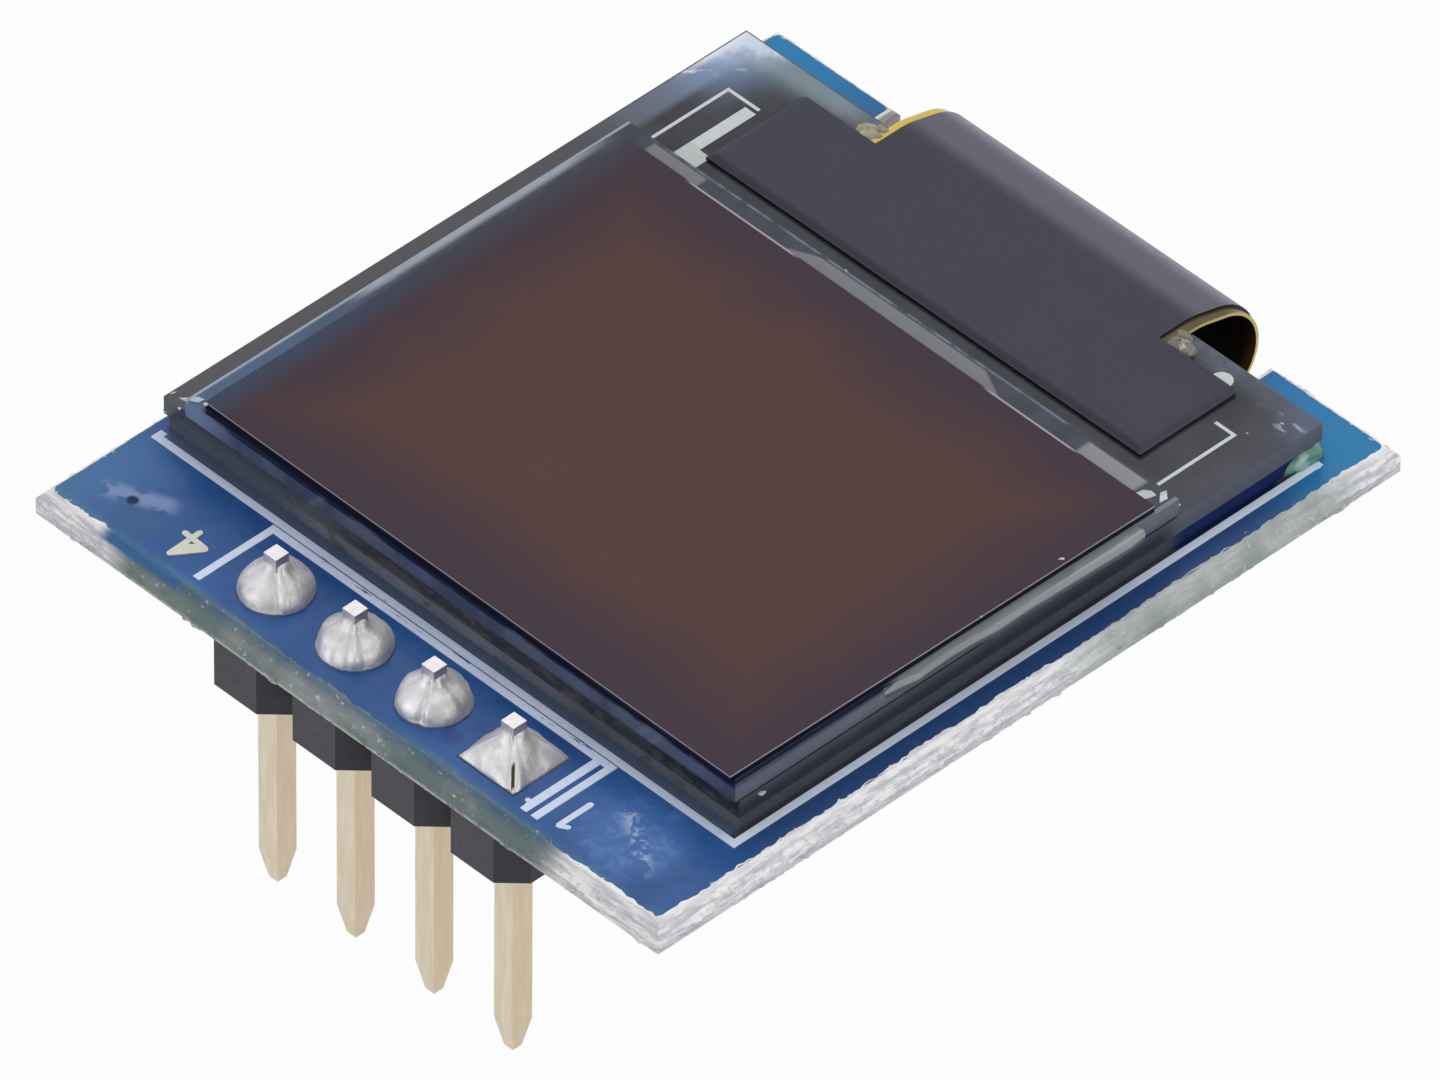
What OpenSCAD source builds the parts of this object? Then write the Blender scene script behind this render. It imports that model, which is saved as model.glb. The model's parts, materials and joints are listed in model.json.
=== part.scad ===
// Small OLED display module: a glass panel on a small circuit board, with a
// four pin header below its front edge and a flex that folds under its back edge.
//
// Frame: the origin is the middle of the pin row, in the plane of the header
// block's underside, which is the face that the module is plugged in against.
// +X runs along the pin row, +Y towards the flex, +Z out of the display.

/* [Board] */
// Width of the board along the pin row
board_w = 20.1; // [17:0.1:26]
// Length of the board
board_l = 23.15; // [20:0.05:30]
// Thickness of the board with its mask
board_t = 1.0; // [0.8:0.1:1.6]
// Offset of the board's middle from the middle of the pin row
board_shift = 0.05; // [-0.5:0.01:0.5]
// Distance of the pin row from the board's front edge
row_inset = 1.65; // [1.5:0.05:2.5]
// Distance that the snapping grooves set the board's faces back from its edges
score_in = 0.27; // [0.1:0.01:0.35]
// Thickness of the web that is left between the snapping grooves
web_t = 0.3; // [0.2:0.05:0.5]
// Corner radius of the board
corner_r = 0.2; // [0.1:0.05:1]
// Thickness of the solder mask and of the copper pads in it
mask_t = 0.03; // [0.02:0.01:0.05]
// Distance that the mask stops short of the board's face
mask_inset = 0.03; // [0.02:0.01:0.3]
// Gap between a pad and the mask around it
mask_gap = 0.05; // [0.03:0.01:0.1]
// Width of the printed lines
print_w = 0.2; // [0.12:0.01:0.3]
// Thickness of the printed lines
print_t = 0.02; // [0.01:0.01:0.04]

/* [Header] */
// Distance between two pins
pitch = 2.54; // [2:0.01:2.54]
// Width of the square pins
pin_w = 0.6; // [0.5:0.01:0.7]
// Length of the pins below the header block
pin_below = 6.15; // [3:0.05:12]
// Height of the pins above the board
pin_above = 1.1; // [0.95:0.01:2]
// Length of the taper at the pins' lower ends
tip_l = 0.85; // [0.3:0.05:1.5]
// Width of the pins' blunt ends
tip_w = 0.28; // [0.1:0.01:0.5]
// Width of the pins' upper ends
top_w = 0.4; // [0.3:0.01:0.5]
// Height of the header block
block_h = 1.5; // [1.4:0.1:2.6]
// Depth of the header block
block_d = 2.54; // [2:0.01:2.6]
// Width of the flat on the front of each cell of the block
cell_flat = 1.37; // [0.9:0.01:1.8]
// Diameter of the drilled holes
hole_d = 1.0; // [0.94:0.01:1.2]
// Thickness of the plating in the holes
plating_t = 0.04; // [0.02:0.01:0.05]
// Width of the pads round the holes
pad_d = 1.7; // [1.4:0.05:2]
// Height of the solder round each pin
solder_h = 0.85; // [0.7:0.05:0.9]

/* [Panel] */
// Width of the lower glass
glass_w = 18.46; // [16:0.01:20]
// Length of the lower glass
glass_l = 18.1; // [17:0.01:20]
// Thickness of the lower glass
glass_t = 0.5; // [0.3:0.05:0.7]
// Distance of the panel's front edge behind the pin row
panel_front = 1.87; // [1.7:0.01:3]
// Offset of the panel's middle from the middle of the pin row
panel_shift = -0.22; // [-0.5:0.01:0.5]
// Thickness of the mounting pad under the panel
tape_t = 0.45; // [0.2:0.05:1]
// Distance that the mounting pad stops short of the glass
tape_inset = 0.08; // [0.05:0.01:1]
// Distance that the mounting pad stops short of the glass's back edge
tape_back = 0.45; // [0.3:0.05:2]
// Thickness of the upper glass
cover_t = 0.47; // [0.3:0.01:0.7]
// Distance of the upper glass from the lower one's left edge
cover_left = 0.85; // [0:0.05:1]
// Distance that the upper glass overhangs the lower one's front edge
cover_over = 0.13; // [0:0.01:0.3]
// Length of the upper glass
cover_l = 13.7; // [13.6:0.1:14]
// Thickness of the seal between the two glasses
seal_t = 0.05; // [0.03:0.01:0.1]
// Width of the seal
seal_w = 0.8; // [0.5:0.05:1.2]
// Distance of the seal from the upper glass's edge
seal_inset = 0.3; // [0.1:0.05:0.5]
// Distance of the seal from the upper glass's back edge
seal_back = 0.75; // [0.5:0.05:1]
// Thickness of the light-emitting layer
pixel_t = 0.03; // [0.01:0.01:0.03]
// Width of the lit area
active_w = 13.42; // [10:0.01:14]
// Length of the lit area
active_l = 10.06; // [8:0.01:11]
// Distance of the polariser from the upper glass's left edge
polar_left = 0.54; // [0.2:0.01:1]
// Distance of the polariser from the upper glass's right edge
polar_right = 0.13; // [0.1:0.01:1]
// Distance of the polariser from the upper glass's front edge
polar_front = 0.08; // [0.08:0.01:1]
// Distance of the polariser from the upper glass's back edge
polar_back = 0.62; // [0.2:0.01:1]
// Thickness of the polariser
polar_t = 0.18; // [0.1:0.01:0.3]
// Angle that the polariser is laid askew
polar_skew = 0.45; // [0:0.05:0.5]

/* [Ledge] */
// Thickness of the metal traces on the lower glass
trace_t = 0.02; // [0.01:0.01:0.03]
// Width of the thin traces
trace_w = 0.09; // [0.05:0.01:0.2]
// Width of the broad trace
band_w = 0.35; // [0.2:0.05:0.6]
// Diameter of the alignment mark
mark_d = 0.54; // [0.3:0.01:0.8]
// Length of the driver chip
chip_w = 6.8; // [5:0.1:9]
// Breadth of the driver chip
chip_l = 0.9; // [0.7:0.05:1]

/* [Flex] */
// Offset of the flex's middle from the middle of the pin row
flex_shift = 0.08; // [-0.5:0.01:0.5]
// Width of the flex's head, on the glass
head_w = 13.9; // [12:0.1:14.5]
// Length of the dark film on the flex's head
head_l = 3.0; // [2.8:0.05:3.05]
// Distance of the head's back edge from the glass's back edge
head_back = 0.77; // [0.5:0.01:0.9]
// Length of the strip where the flex is bonded to the glass
bond_l = 1.3; // [1:0.05:1.5]
// Thickness of the bonding layer
bond_t = 0.05; // [0.02:0.01:0.1]
// Width of the flex's tail
tail_w = 9.6; // [8:0.1:10]
// Thickness of the amber film
base_t = 0.08; // [0.05:0.01:0.12]
// Thickness of the dark film
film_t = 0.07; // [0.04:0.01:0.1]
// Distance that the dark film stops short of the tail's sides
film_inset = 0.4; // [0.2:0.05:0.8]
// Angle that the tail droops from the glass
droop = 15; // [5:1:25]
// Radius of the droop
droop_r = 2.0; // [1:0.1:3]
// Length of the straight between the droop and the loop
reach = 0.6; // [0.4:0.05:1.5]
// Distance that the loop hangs below the board
loop_drop = 0.86; // [0.7:0.01:1.5]
// Angle that the tail rises to the board's underside
rise = 25; // [15:1:40]
// Radius of the bend where the tail meets the board's underside
rise_r = 1.5; // [1:0.1:2.5]
// Length of the tail soldered to the board
land_l = 1.8; // [1.5:0.1:2]
// Distance between two of the flex's joints
joint_pitch = 0.62; // [0.5:0.01:0.65]
// Number of joints of the flex
joint_count = 14; // [8:1:14]
// Thickness of the solder under the flex
joint_t = 0.04; // [0.02:0.01:0.06]
// Clearance of the notch to each side of the tail
notch_clear = 1.28; // [0.5:0.01:2]
// Distance that the notch runs in under the glass
notch_under = 1.2; // [0.8:0.1:1.5]

/* [Underside] */
// Length of the chip capacitors and resistors
chip_part_l = 1.6; // [1:0.1:2]
// Width of the chip capacitors and resistors
chip_part_w = 0.8; // [0.5:0.05:1]
// Height of the capacitors
cap_h = 0.8; // [0.5:0.05:1]
// Height of the resistors
res_h = 0.45; // [0.35:0.05:0.6]
// Length of the plated ends of the capacitors and resistors
end_l = 0.35; // [0.2:0.05:0.5]
// Length of the regulator's moulded body
reg_w = 2.9; // [2.8:0.1:3.1]
// Breadth of the regulator's moulded body
reg_l = 1.3; // [1.2:0.1:1.4]
// Height of the regulator's moulded body
reg_h = 1.0; // [0.9:0.05:1.1]
// Gap between the regulator's body and the board
reg_gap = 0.08; // [0.05:0.01:0.15]
// Width over the ends of the regulator's leads
reg_span = 2.4; // [2.2:0.1:2.6]
// Distance between the regulator's neighbouring leads
reg_pitch = 0.95; // [0.9:0.01:1]

/* [Hidden] */
$fn = 48;
// How far cuts run past a face
eps = 0.01;
// Angle of the steps in which the flex bends
bend_step = 5;

pin_count = 4;
// Bevel between two cells of the header block
bevel = (pitch - cell_flat) / 2;

// Heights
board_z0 = block_h;
board_z1 = board_z0 + board_t;
board_mid = board_z0 + board_t / 2;
glass_z0 = board_z1 + tape_t;
glass_z1 = glass_z0 + glass_t;
cover_z0 = glass_z1 + seal_t;
cover_z1 = cover_z0 + cover_t;
base_z0 = glass_z1 + bond_t;
film_z0 = base_z0 + base_t;

// Board outline
board_x0 = board_shift - board_w / 2;
board_x1 = board_shift + board_w / 2;
board_y0 = -row_inset;
board_y1 = board_y0 + board_l;

// Panel outline
glass_x0 = panel_shift - glass_w / 2;
glass_x1 = panel_shift + glass_w / 2;
glass_y0 = panel_front;
glass_y1 = glass_y0 + glass_l;
cover_x0 = glass_x0 + cover_left;
cover_w = glass_x1 - cover_x0;
cover_y0 = glass_y0 - cover_over;
cover_y1 = cover_y0 + cover_l;
seal_y1 = cover_y1 - seal_back;
polar_w = cover_w - polar_left - polar_right;
polar_l = cover_l - polar_front - polar_back;

// Notch for the flex
notch_w = tail_w + 2 * notch_clear;
notch_y0 = glass_y1 - notch_under;

// Solder round the pins: a bulging foot, then a hollow climb to the neck
neck_r = top_w / sqrt(2) + 0.02;
foot_r = pad_d / 2;
bulge_r = 0.36;
bulge_z = 0.08;
climb_z = 0.4;
climb_in = 0.23;
// Where the pins' upper ends begin to narrow, and where they are narrow
neck_z0 = board_z1 + 0.25;
neck_z1 = board_z1 + 0.55;
notch_mask = 0.1;

// Flex: where its head lies, and the path of the amber film's middle plane
head_r = 0.12;
// Distance that the amber film's head stops short of the dark film's edges
head_hidden = 0.12;
head_y1 = glass_y1 - head_back;
bond_y0 = head_y1 - bond_l;
film_y0 = head_y1 - head_l;
base_z = base_z0 + base_t / 2;
land_z = board_z0 - joint_t - base_t / 2;
loop_z1 = base_z - droop_r * (1 - cos(droop)) - reach * sin(droop);
loop_r = (loop_z1 - board_z0 + loop_drop) / (1 + cos(droop));
loop_z0 = loop_z1 - loop_r * (cos(droop) + cos(rise));
rise_l = (land_z - loop_z0 - rise_r * (1 - cos(rise))) / sin(rise);
flat_l = glass_y1 - bond_y0;
flex_path = [["line", flat_l],
             ["arc", droop_r, droop],
             ["line", reach],
             ["arc", loop_r, 180 + rise - droop],
             ["line", rise_l],
             ["arc", rise_r, -rise],
             ["line", land_l]];
flex_start = [bond_y0, base_z, 0];
land_y0 = path_end(flex_path, flex_start)[0];
joint_margin = 0.2;
joint_l = land_l - 2 * joint_margin;
joint_w = joint_pitch / 2;

// Resin beads in the flex's shoulders, and the dab of glue under the glass
bead_foot = 0.34;
bead_h = base_z0 + base_t - glass_z1 + 0.12;
bead_r = (bead_foot * bead_foot + bead_h * bead_h) / (2 * bead_h);
bead_out = 0.12;
glue_r = 0.45;
glue_in = 0.1;

// Chip on the glass, and the soft coat and the bond round it
chip_y = (film_y0 + bond_y0) / 2 + 0.05;
coat_inset = 0.3;
coat_y0 = film_y0 + 0.15;
coat_y1 = bond_y0 - 0.05;
bond_inset = 0.4;
bond_short = 0.35;

// Traces on the ledge: thin ones along its sides and back, then the broad one
// and the metal patch that it leads to
trace_x0 = glass_x0 + 1.2;
trace_x1 = glass_x1 - 1.06;
trace_y0 = seal_y1 + 0.05;
trace_y1 = glass_y1 - 1.73;
trace_turn_l = 0.96;
trace_turn_r = 0.55;
band_x = trace_x0 + 0.7;
band_back = 0.15;
patch_w = 1.5;
patch_neck = 0.72;
patch_l = film_y0 + 0.12 - trace_y0;
mark_in = 0.58;
mark_out = 0.14;

// Printed lines: the panel's outline round the glass, then the header's
panel_line_front = 0.32;
panel_line_left = 0.12;
panel_line_right = 0.17;
panel_line_back = 0.33;
line_hook = 0.12;
header_line_y0 = -0.95;
header_line_y1 = 1.31;
header_line_x = [-5.3, 5.2, 5.54];

// A place on the board, from fractions across and along it, and a turn
function board_at(f) = [board_x0 + f[0] * board_w, board_y0 + f[1] * board_l, f[2]];

// Underside parts
capacitors = [for (f = [[0.15, 0.66, 0], [0.32, 0.66, 0], [0.67, 0.66, 0], [0.84, 0.66, 0],
                        [0.1, 0.43, 90], [0.22, 0.43, 90]]) board_at(f)];
resistors = [for (k = [0 : 3]) board_at([0.31 + 0.11 * k, 0.27, 90])];
regulator = board_at([0.77, 0.43, 0]);
fillet_l = 0.3;
fillet_w = 0.9 * chip_part_w;
plate_proud = 0.03;
reg_lead_w = 0.4;
reg_lead_t = 0.12;
reg_draft = 0.08;
reg_part_z = reg_gap + 0.55 * reg_h;
reg_knee = 0.25;
reg_foot_lean = 0.02;
reg_pad_w = 0.55;
reg_pad_l = 0.9;
reg_pad_in = 0.15;
// The regulator's leads: [side, place along the body]
reg_leads = [[-1, -reg_pitch], [-1, reg_pitch], [1, 0]];

// Pin 1 is the last of the row, at its +X end
function pin_x(k) = (pin_count + 1 - 2 * k) * pitch / 2;

// One step of a path in the plane of the loop: [y, z, heading], with the heading
// measured clockwise from +Y, so that a positive turn bends downwards.
function path_step(at, seg) =
    let (h = at[2])
    seg[0] == "line"
    ? [at[0] + seg[1] * cos(h), at[1] - seg[1] * sin(h), h]
    : let (s = sign(seg[2]), g = h + seg[2], r = seg[1] * s)
      [at[0] + r * (sin(g) - sin(h)), at[1] + r * (cos(g) - cos(h)), g];

function path_at(path, start, n) =
    n == 0 ? start : path_step(path_at(path, start, n - 1), path[n - 1]);

function path_end(path, start) = path_at(path, start, len(path));

// The part of a segment up to a fraction of it
function part_of(seg, f) = seg[0] == "line" ? ["line", f * seg[1]] : ["arc", seg[1], f * seg[2]];

function steps_of(seg) = seg[0] == "line" ? 1 : ceil(abs(seg[2]) / bend_step);

// The points along a path, with every bend in steps of bend_step
function path_points(path, start) =
    [start, for (n = [0 : len(path) - 1])
        let (at = path_at(path, start, n), steps = steps_of(path[n]))
        for (i = [1 : steps]) path_step(at, part_of(path[n], i / steps))];

// The points moved to the left of the path, which is outwards at a downward bend
function beside(points, side) =
    [for (p = points) [p[0] + side * sin(p[2]), p[1] + side * cos(p[2])]];

// A ribbon along the flex's path, whose inner face is side to the left of it
module ribbon(side, thick, width) {
    points = path_points(flex_path, flex_start);
    back = [for (n = [len(points) - 1 : -1 : 0]) points[n]];
    translate([flex_shift - width / 2, 0, 0])
    rotate([90, 0, 90])
    linear_extrude(width)
    polygon(concat(beside(points, side), beside(back, side + thick)));
}

module rounded_rect(x0, y0, w, l, r) {
    translate([x0 + r, y0])
    square([w - 2 * r, l]);
    translate([x0, y0 + r])
    square([w, l - 2 * r]);
    for (x = [x0 + r, x0 + w - r], y = [y0 + r, y0 + l - r])
        translate([x, y])
        circle(r);
}

module notch_2d(grow = 0) {
    translate([flex_shift - notch_w / 2 - grow, notch_y0 - grow])
    square([notch_w + 2 * grow, board_y1 - notch_y0 + grow + 1]);
}

// The outline of the mask, on the faces that the grooves leave
module mask_2d() {
    inset = score_in + mask_inset;
    difference() {
        rounded_rect(board_x0 + inset, board_y0 + inset, board_w - 2 * inset,
                     board_l - 2 * inset, corner_r);
        notch_2d(notch_mask);
    }
}

// The board's section across a given width, with a groove along both its sides
module scored_section(width) {
    w = width / 2;
    face = w - score_in;
    polygon([[-face, board_z0 + mask_t], [face, board_z0 + mask_t],
             [w, board_mid - web_t / 2], [w, board_mid + web_t / 2],
             [face, board_z1 - mask_t], [-face, board_z1 - mask_t],
             [-w, board_mid + web_t / 2], [-w, board_mid - web_t / 2]]);
}

// The board without its notch and holes: its two sections, crossed
module board_blank() {
    translate([board_shift, board_y0 + board_l / 2, 0])
    intersection() {
        rotate([90, 0, 0])
        translate([0, 0, -board_l / 2])
        linear_extrude(board_l)
        scored_section(board_w);
        rotate([90, 0, 90])
        translate([0, 0, -board_w / 2])
        linear_extrude(board_w)
        scored_section(board_l);
    }
}

module slab(z0, z1) {
    translate([0, 0, z0])
    linear_extrude(z1 - z0)
    children();
}

// The pad round pin k: square at pin 1
module pad_2d(k, grow = 0) {
    if (k == 1)
        square(pad_d + 2 * grow, center = true);
    else
        circle(pad_d / 2 + grow);
}

module at_pin(k) {
    translate([pin_x(k), 0, 0])
    children();
}

// Rectangles of copper under the board, for the flex and for each part
module underside_pads_2d(grow = 0) {
    flex_pads_2d(grow);
    for (part = concat(capacitors, resistors))
        translate([part[0], part[1]])
        rotate(part[2])
        for (side = [-1, 1])
            pad_rect_2d(side * (chip_part_l / 2 - end_l / 2 + fillet_l / 2),
                        0, end_l + fillet_l, chip_part_w, grow);
    translate(regulator)
    for (lead = reg_leads)
        pad_rect_2d(lead[1], lead[0] * (reg_span / 2 - reg_pad_in), reg_pad_w, reg_pad_l, grow);
}

module pad_rect_2d(x, y, w, l, grow) {
    translate([x - w / 2 - grow, y - l / 2 - grow])
    square([w + 2 * grow, l + 2 * grow]);
}

module flex_pads_2d(grow = 0) {
    for (k = [0 : joint_count - 1])
        pad_rect_2d(joint_x(k), land_y0 + land_l / 2, joint_w, joint_l, grow);
}

function joint_x(k) = flex_shift + (k - (joint_count - 1) / 2) * joint_pitch;

module board_core() {
    color("#c8caca")
    difference() {
        intersection() {
            board_blank();
            slab(board_z0, board_z1)
            rounded_rect(board_x0, board_y0, board_w, board_l, corner_r);
        }
        slab(board_z0, board_z1) {
            notch_2d();
            for (k = [1 : pin_count])
                at_pin(k)
                circle(d = hole_d);
        }
    }
}

module mask_top() {
    color("#1f4a9c")
    slab(board_z1 - mask_t, board_z1)
    difference() {
        mask_2d();
        for (k = [1 : pin_count])
            at_pin(k)
            pad_2d(k, mask_gap);
    }
}

module mask_bottom() {
    color("#1f4a9c")
    slab(board_z0, board_z0 + mask_t)
    difference() {
        mask_2d();
        for (k = [1 : pin_count])
            at_pin(k)
            pad_2d(k, mask_gap);
        underside_pads_2d(mask_gap);
    }
}

// A line from a to b, with square ends
module line_2d(a, b, w) {
    d = b - a;
    translate(a)
    rotate(atan2(d[1], d[0]))
    translate([-w / 2, -w / 2])
    square([norm(d) + w, w]);
}

module print_line(a, b) {
    line_2d(a, b, print_w);
}

// The panel's outline where the mounting pad leaves it bare, and the header's
// with its double line at pin 1
module board_print() {
    x0 = glass_x0 + panel_line_left;
    x1 = glass_x1 + panel_line_right;
    y0 = glass_y0 - panel_line_front;
    y1 = glass_y1 - panel_line_back;
    color("#c9d6ea")
    slab(board_z1, board_z1 + print_t) {
        print_line([x0, y0 + line_hook], [x0, y0]);
        print_line([x0, y0], [x1, y0]);
        print_line([x1, y0], [x1, y1]);
        print_line([x1, y1], [x1 - line_hook, y1]);
        print_line([header_line_x[0], header_line_y1], [header_line_x[2], header_line_y1]);
        for (x = header_line_x)
            print_line([x, header_line_y0], [x, header_line_y1]);
    }
}

module plated_hole(k) {
    color("#b9b7a8")
    at_pin(k)
    difference() {
        union() {
            slab(board_z0, board_z0 + mask_t)
            pad_2d(k);
            slab(board_z1 - mask_t, board_z1)
            pad_2d(k);
            slab(board_z0, board_z1)
            circle(d = hole_d);
        }
        slab(board_z0 - eps, board_z1 + eps)
        circle(d = hole_d - 2 * plating_t);
    }
}

module underside_pads() {
    color("#b9b7a8")
    slab(board_z0, board_z0 + mask_t)
    underside_pads_2d();
}

// One cell of the header block, an octagon with the row's pitch across it
module cell_2d() {
    x = pitch / 2;
    y = block_d / 2;
    polygon([[-x, -y + bevel], [-x + bevel, -y], [x - bevel, -y], [x, -y + bevel],
             [x, y - bevel], [x - bevel, y], [-x + bevel, y], [-x, y - bevel]]);
}

module header_block() {
    color("#3a383e")
    slab(0, block_h)
    difference() {
        union() {
            for (k = [1 : pin_count])
                at_pin(k)
                cell_2d();
            square([(pin_count - 1) * pitch, block_d - 2 * bevel], center = true);
        }
        for (k = [1 : pin_count])
            at_pin(k)
            square(pin_w, center = true);
    }
}

// A square pin, tapered below and narrow above, as two crossed profiles
module pin_profile() {
    z0 = -pin_below;
    z1 = board_z1 + pin_above;
    w = pin_w / 2;
    t = tip_w / 2;
    n = top_w / 2;
    rotate([90, 0, 0])
    translate([0, 0, -pin_w / 2])
    linear_extrude(pin_w)
    polygon([[-t, z0], [t, z0], [w, z0 + tip_l], [w, neck_z0], [n, neck_z1], [n, z1],
             [-n, z1], [-n, neck_z1], [-w, neck_z0], [-w, z0 + tip_l]]);
}

module pin_blank() {
    intersection() {
        pin_profile();
        rotate(90)
        pin_profile();
    }
}

module pin(k) {
    color("#cdbf9f")
    at_pin(k)
    pin_blank();
}

// The section of solder that climbs from foot to neck in a hollow curve
module hollow_slope(foot, neck, height, hollow) {
    chord = norm([foot - neck, height]);
    out = sqrt(hollow * hollow - chord * chord / 4) / chord;
    difference() {
        polygon([[0, 0], [foot, 0], [neck, height], [0, height]]);
        translate([(foot + neck) / 2 + out * height, height / 2 + out * (foot - neck)])
        circle(hollow);
    }
}

// The section of a joint on a round pad
module round_joint_2d() {
    square([foot_r - bulge_r, climb_z]);
    intersection() {
        translate([foot_r - bulge_r, bulge_z])
        circle(bulge_r);
        square([foot_r, solder_h]);
    }
    translate([0, climb_z])
    hollow_slope(foot_r - climb_in, neck_r, solder_h - climb_z, foot_r);
}

// The joint above the board: on the square pad it has a four-cornered skirt
module joint(k) {
    translate([0, 0, board_z1])
    if (k == 1) {
        corner = pad_d / sqrt(2);
        intersection() {
            rotate_extrude()
            hollow_slope(corner, neck_r, solder_h, 1.5 * corner);
            slab(0, solder_h)
            pad_2d(k);
        }
    } else {
        rotate_extrude()
        round_joint_2d();
    }
}

module solder(k) {
    color("#d5d2cc")
    at_pin(k)
    difference() {
        union() {
            slab(board_z0, board_z1)
            circle(d = hole_d - 2 * plating_t);
            joint(k);
        }
        pin_blank();
    }
}

module tape_2d() {
    translate([glass_x0 + tape_inset, glass_y0 + tape_inset])
    square([glass_w - 2 * tape_inset, glass_l - tape_inset - tape_back]);
}

module mounting_pad() {
    color("#15161a")
    slab(board_z1, glass_z0)
    tape_2d();
}

module lower_glass() {
    color("#4a4d55", 0.6)
    slab(glass_z0, glass_z1)
    translate([glass_x0, glass_y0])
    square([glass_w, glass_l]);
}

module ledge_traces() {
    color("#c3c7c9")
    slab(glass_z1, glass_z1 + trace_t) {
        line_2d([trace_x0, trace_y0], [trace_x0, trace_y1], trace_w);
        line_2d([trace_x0, trace_y1], [trace_x0 + trace_turn_l, trace_y1], trace_w);
        line_2d([trace_x1, trace_y0], [trace_x1, trace_y1], trace_w);
        line_2d([trace_x1 - trace_turn_r, trace_y1], [trace_x1, trace_y1], trace_w);
        translate([band_x, trace_y0]) {
            square([band_w, trace_y1 - trace_y0 - band_back]);
            polygon([[0, 0], [patch_w, 0], [patch_w, patch_l / 3], [patch_neck, 2 * patch_l / 3],
                     [patch_neck, patch_l], [0, patch_l]]);
        }
        translate([flex_shift + head_w / 2 - mark_in, head_y1 + mark_out])
        circle(d = mark_d);
    }
}

module pixel_layer() {
    color("#2d2a2c")
    slab(glass_z1, glass_z1 + pixel_t)
    translate([panel_shift, (glass_y0 + seal_inset + seal_y1) / 2])
    square([active_w, active_l], center = true);
}

// The ring of seal between the glasses, or with inset what it encloses
module seal_2d(inset = 0) {
    x0 = cover_x0 + seal_inset + inset;
    y0 = glass_y0 + seal_inset + inset;
    translate([x0, y0])
    square([glass_x1 - seal_inset - inset - x0, seal_y1 - inset - y0]);
}

module panel_seal() {
    color("#5b5a58")
    slab(glass_z1, cover_z0)
    difference() {
        seal_2d();
        seal_2d(seal_w);
    }
}

module upper_glass() {
    color("#55565c", 0.6)
    slab(cover_z0, cover_z1)
    translate([cover_x0, cover_y0])
    square([cover_w, cover_l]);
}

module polariser() {
    color("#57453d")
    slab(cover_z1, cover_z1 + polar_t)
    translate([cover_x0 + polar_left + polar_w / 2, cover_y0 + polar_front + polar_l / 2])
    rotate(-polar_skew)
    square([polar_w, polar_l], center = true);
}

module chip_2d() {
    translate([flex_shift, chip_y])
    square([chip_w, chip_l], center = true);
}

module driver_chip() {
    color("#6d7078")
    slab(glass_z1, film_z0)
    chip_2d();
}

// The soft coat over the bare traces, under the dark film
module ledge_resin() {
    color("#8d8f8c", 0.7)
    difference() {
        slab(glass_z1, film_z0)
        difference() {
            translate([flex_shift - head_w / 2 + coat_inset, coat_y0])
            square([head_w - 2 * coat_inset, coat_y1 - coat_y0]);
            chip_2d();
        }
        ledge_traces();
    }
}

module flex_bond() {
    color("#9a8f6a")
    slab(glass_z1, base_z0)
    translate([flex_shift - head_w / 2 + bond_inset, bond_y0])
    square([head_w - 2 * bond_inset, bond_l - bond_short]);
}

// The head's outline from y0 to its back edge, drawn in by a clearance
module head_2d(y0, inside = 0) {
    translate([flex_shift - head_w / 2 + inside, y0 + inside])
    rounded_rect(0, 0, head_w - 2 * inside, head_y1 - y0 - 2 * inside, head_r);
}

module flex_film() {
    color("#d9c050")
    union() {
        slab(base_z0, base_z0 + base_t)
        head_2d(bond_y0, head_hidden);
        ribbon(-base_t / 2, base_t, tail_w);
    }
}

module flex_cover() {
    color("#4a4a55")
    union() {
        slab(film_z0, film_z0 + film_t)
        head_2d(film_y0);
        ribbon(base_t / 2, film_t, tail_w - 2 * film_inset);
    }
}

// A bead of resin on the glass, in the corner between the head and the tail
module shoulder_bead(side) {
    color("#b9ad93")
    difference() {
        translate([flex_shift + side * (tail_w / 2 + bead_out), head_y1 + bead_out, 0])
        intersection() {
            translate([0, 0, glass_z1 + bead_h - bead_r])
            sphere(bead_r);
            slab(glass_z1, glass_z1 + bead_h)
            square(2 * bead_r, center = true);
        }
        slab(base_z0, film_z0 + film_t + eps) {
            head_2d(bond_y0);
            translate([flex_shift - tail_w / 2, bond_y0])
            square([tail_w, flat_l]);
        }
    }
}

// A dab of glue that has run out under the glass's back right corner
module corner_glue() {
    color("#5d8a72")
    difference() {
        slab(board_z1, glass_z0)
        translate([glass_x1 - glue_r - glue_in, glass_y1 - glue_in])
        circle(glue_r);
        mounting_pad();
    }
}

module flex_solder() {
    color("#cfccc4")
    slab(board_z0 - joint_t, board_z0)
    flex_pads_2d();
}

// Hangs what it is given under the board, with its foot at z = 0
module under_board(part) {
    translate([part[0], part[1], board_z0])
    rotate([0, 0, part[2]])
    mirror([0, 0, 1])
    children();
}

// A chip part: its body, with plated ends that stand a little proud of it
module chip_part(height) {
    translate([0, 0, height / 2])
    cube([chip_part_l - 2 * plate_proud, chip_part_w - 2 * plate_proud,
          height - 2 * plate_proud], center = true);
    for (side = [-1, 1])
        translate([side * (chip_part_l - end_l) / 2, 0, height / 2])
        cube([end_l, chip_part_w, height], center = true);
}

module capacitor(k) {
    color("#a98f6c")
    under_board(capacitors[k - 1])
    chip_part(cap_h);
}

module resistor(k) {
    color("#26262a")
    under_board(resistors[k - 1])
    chip_part(res_h);
}

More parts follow.
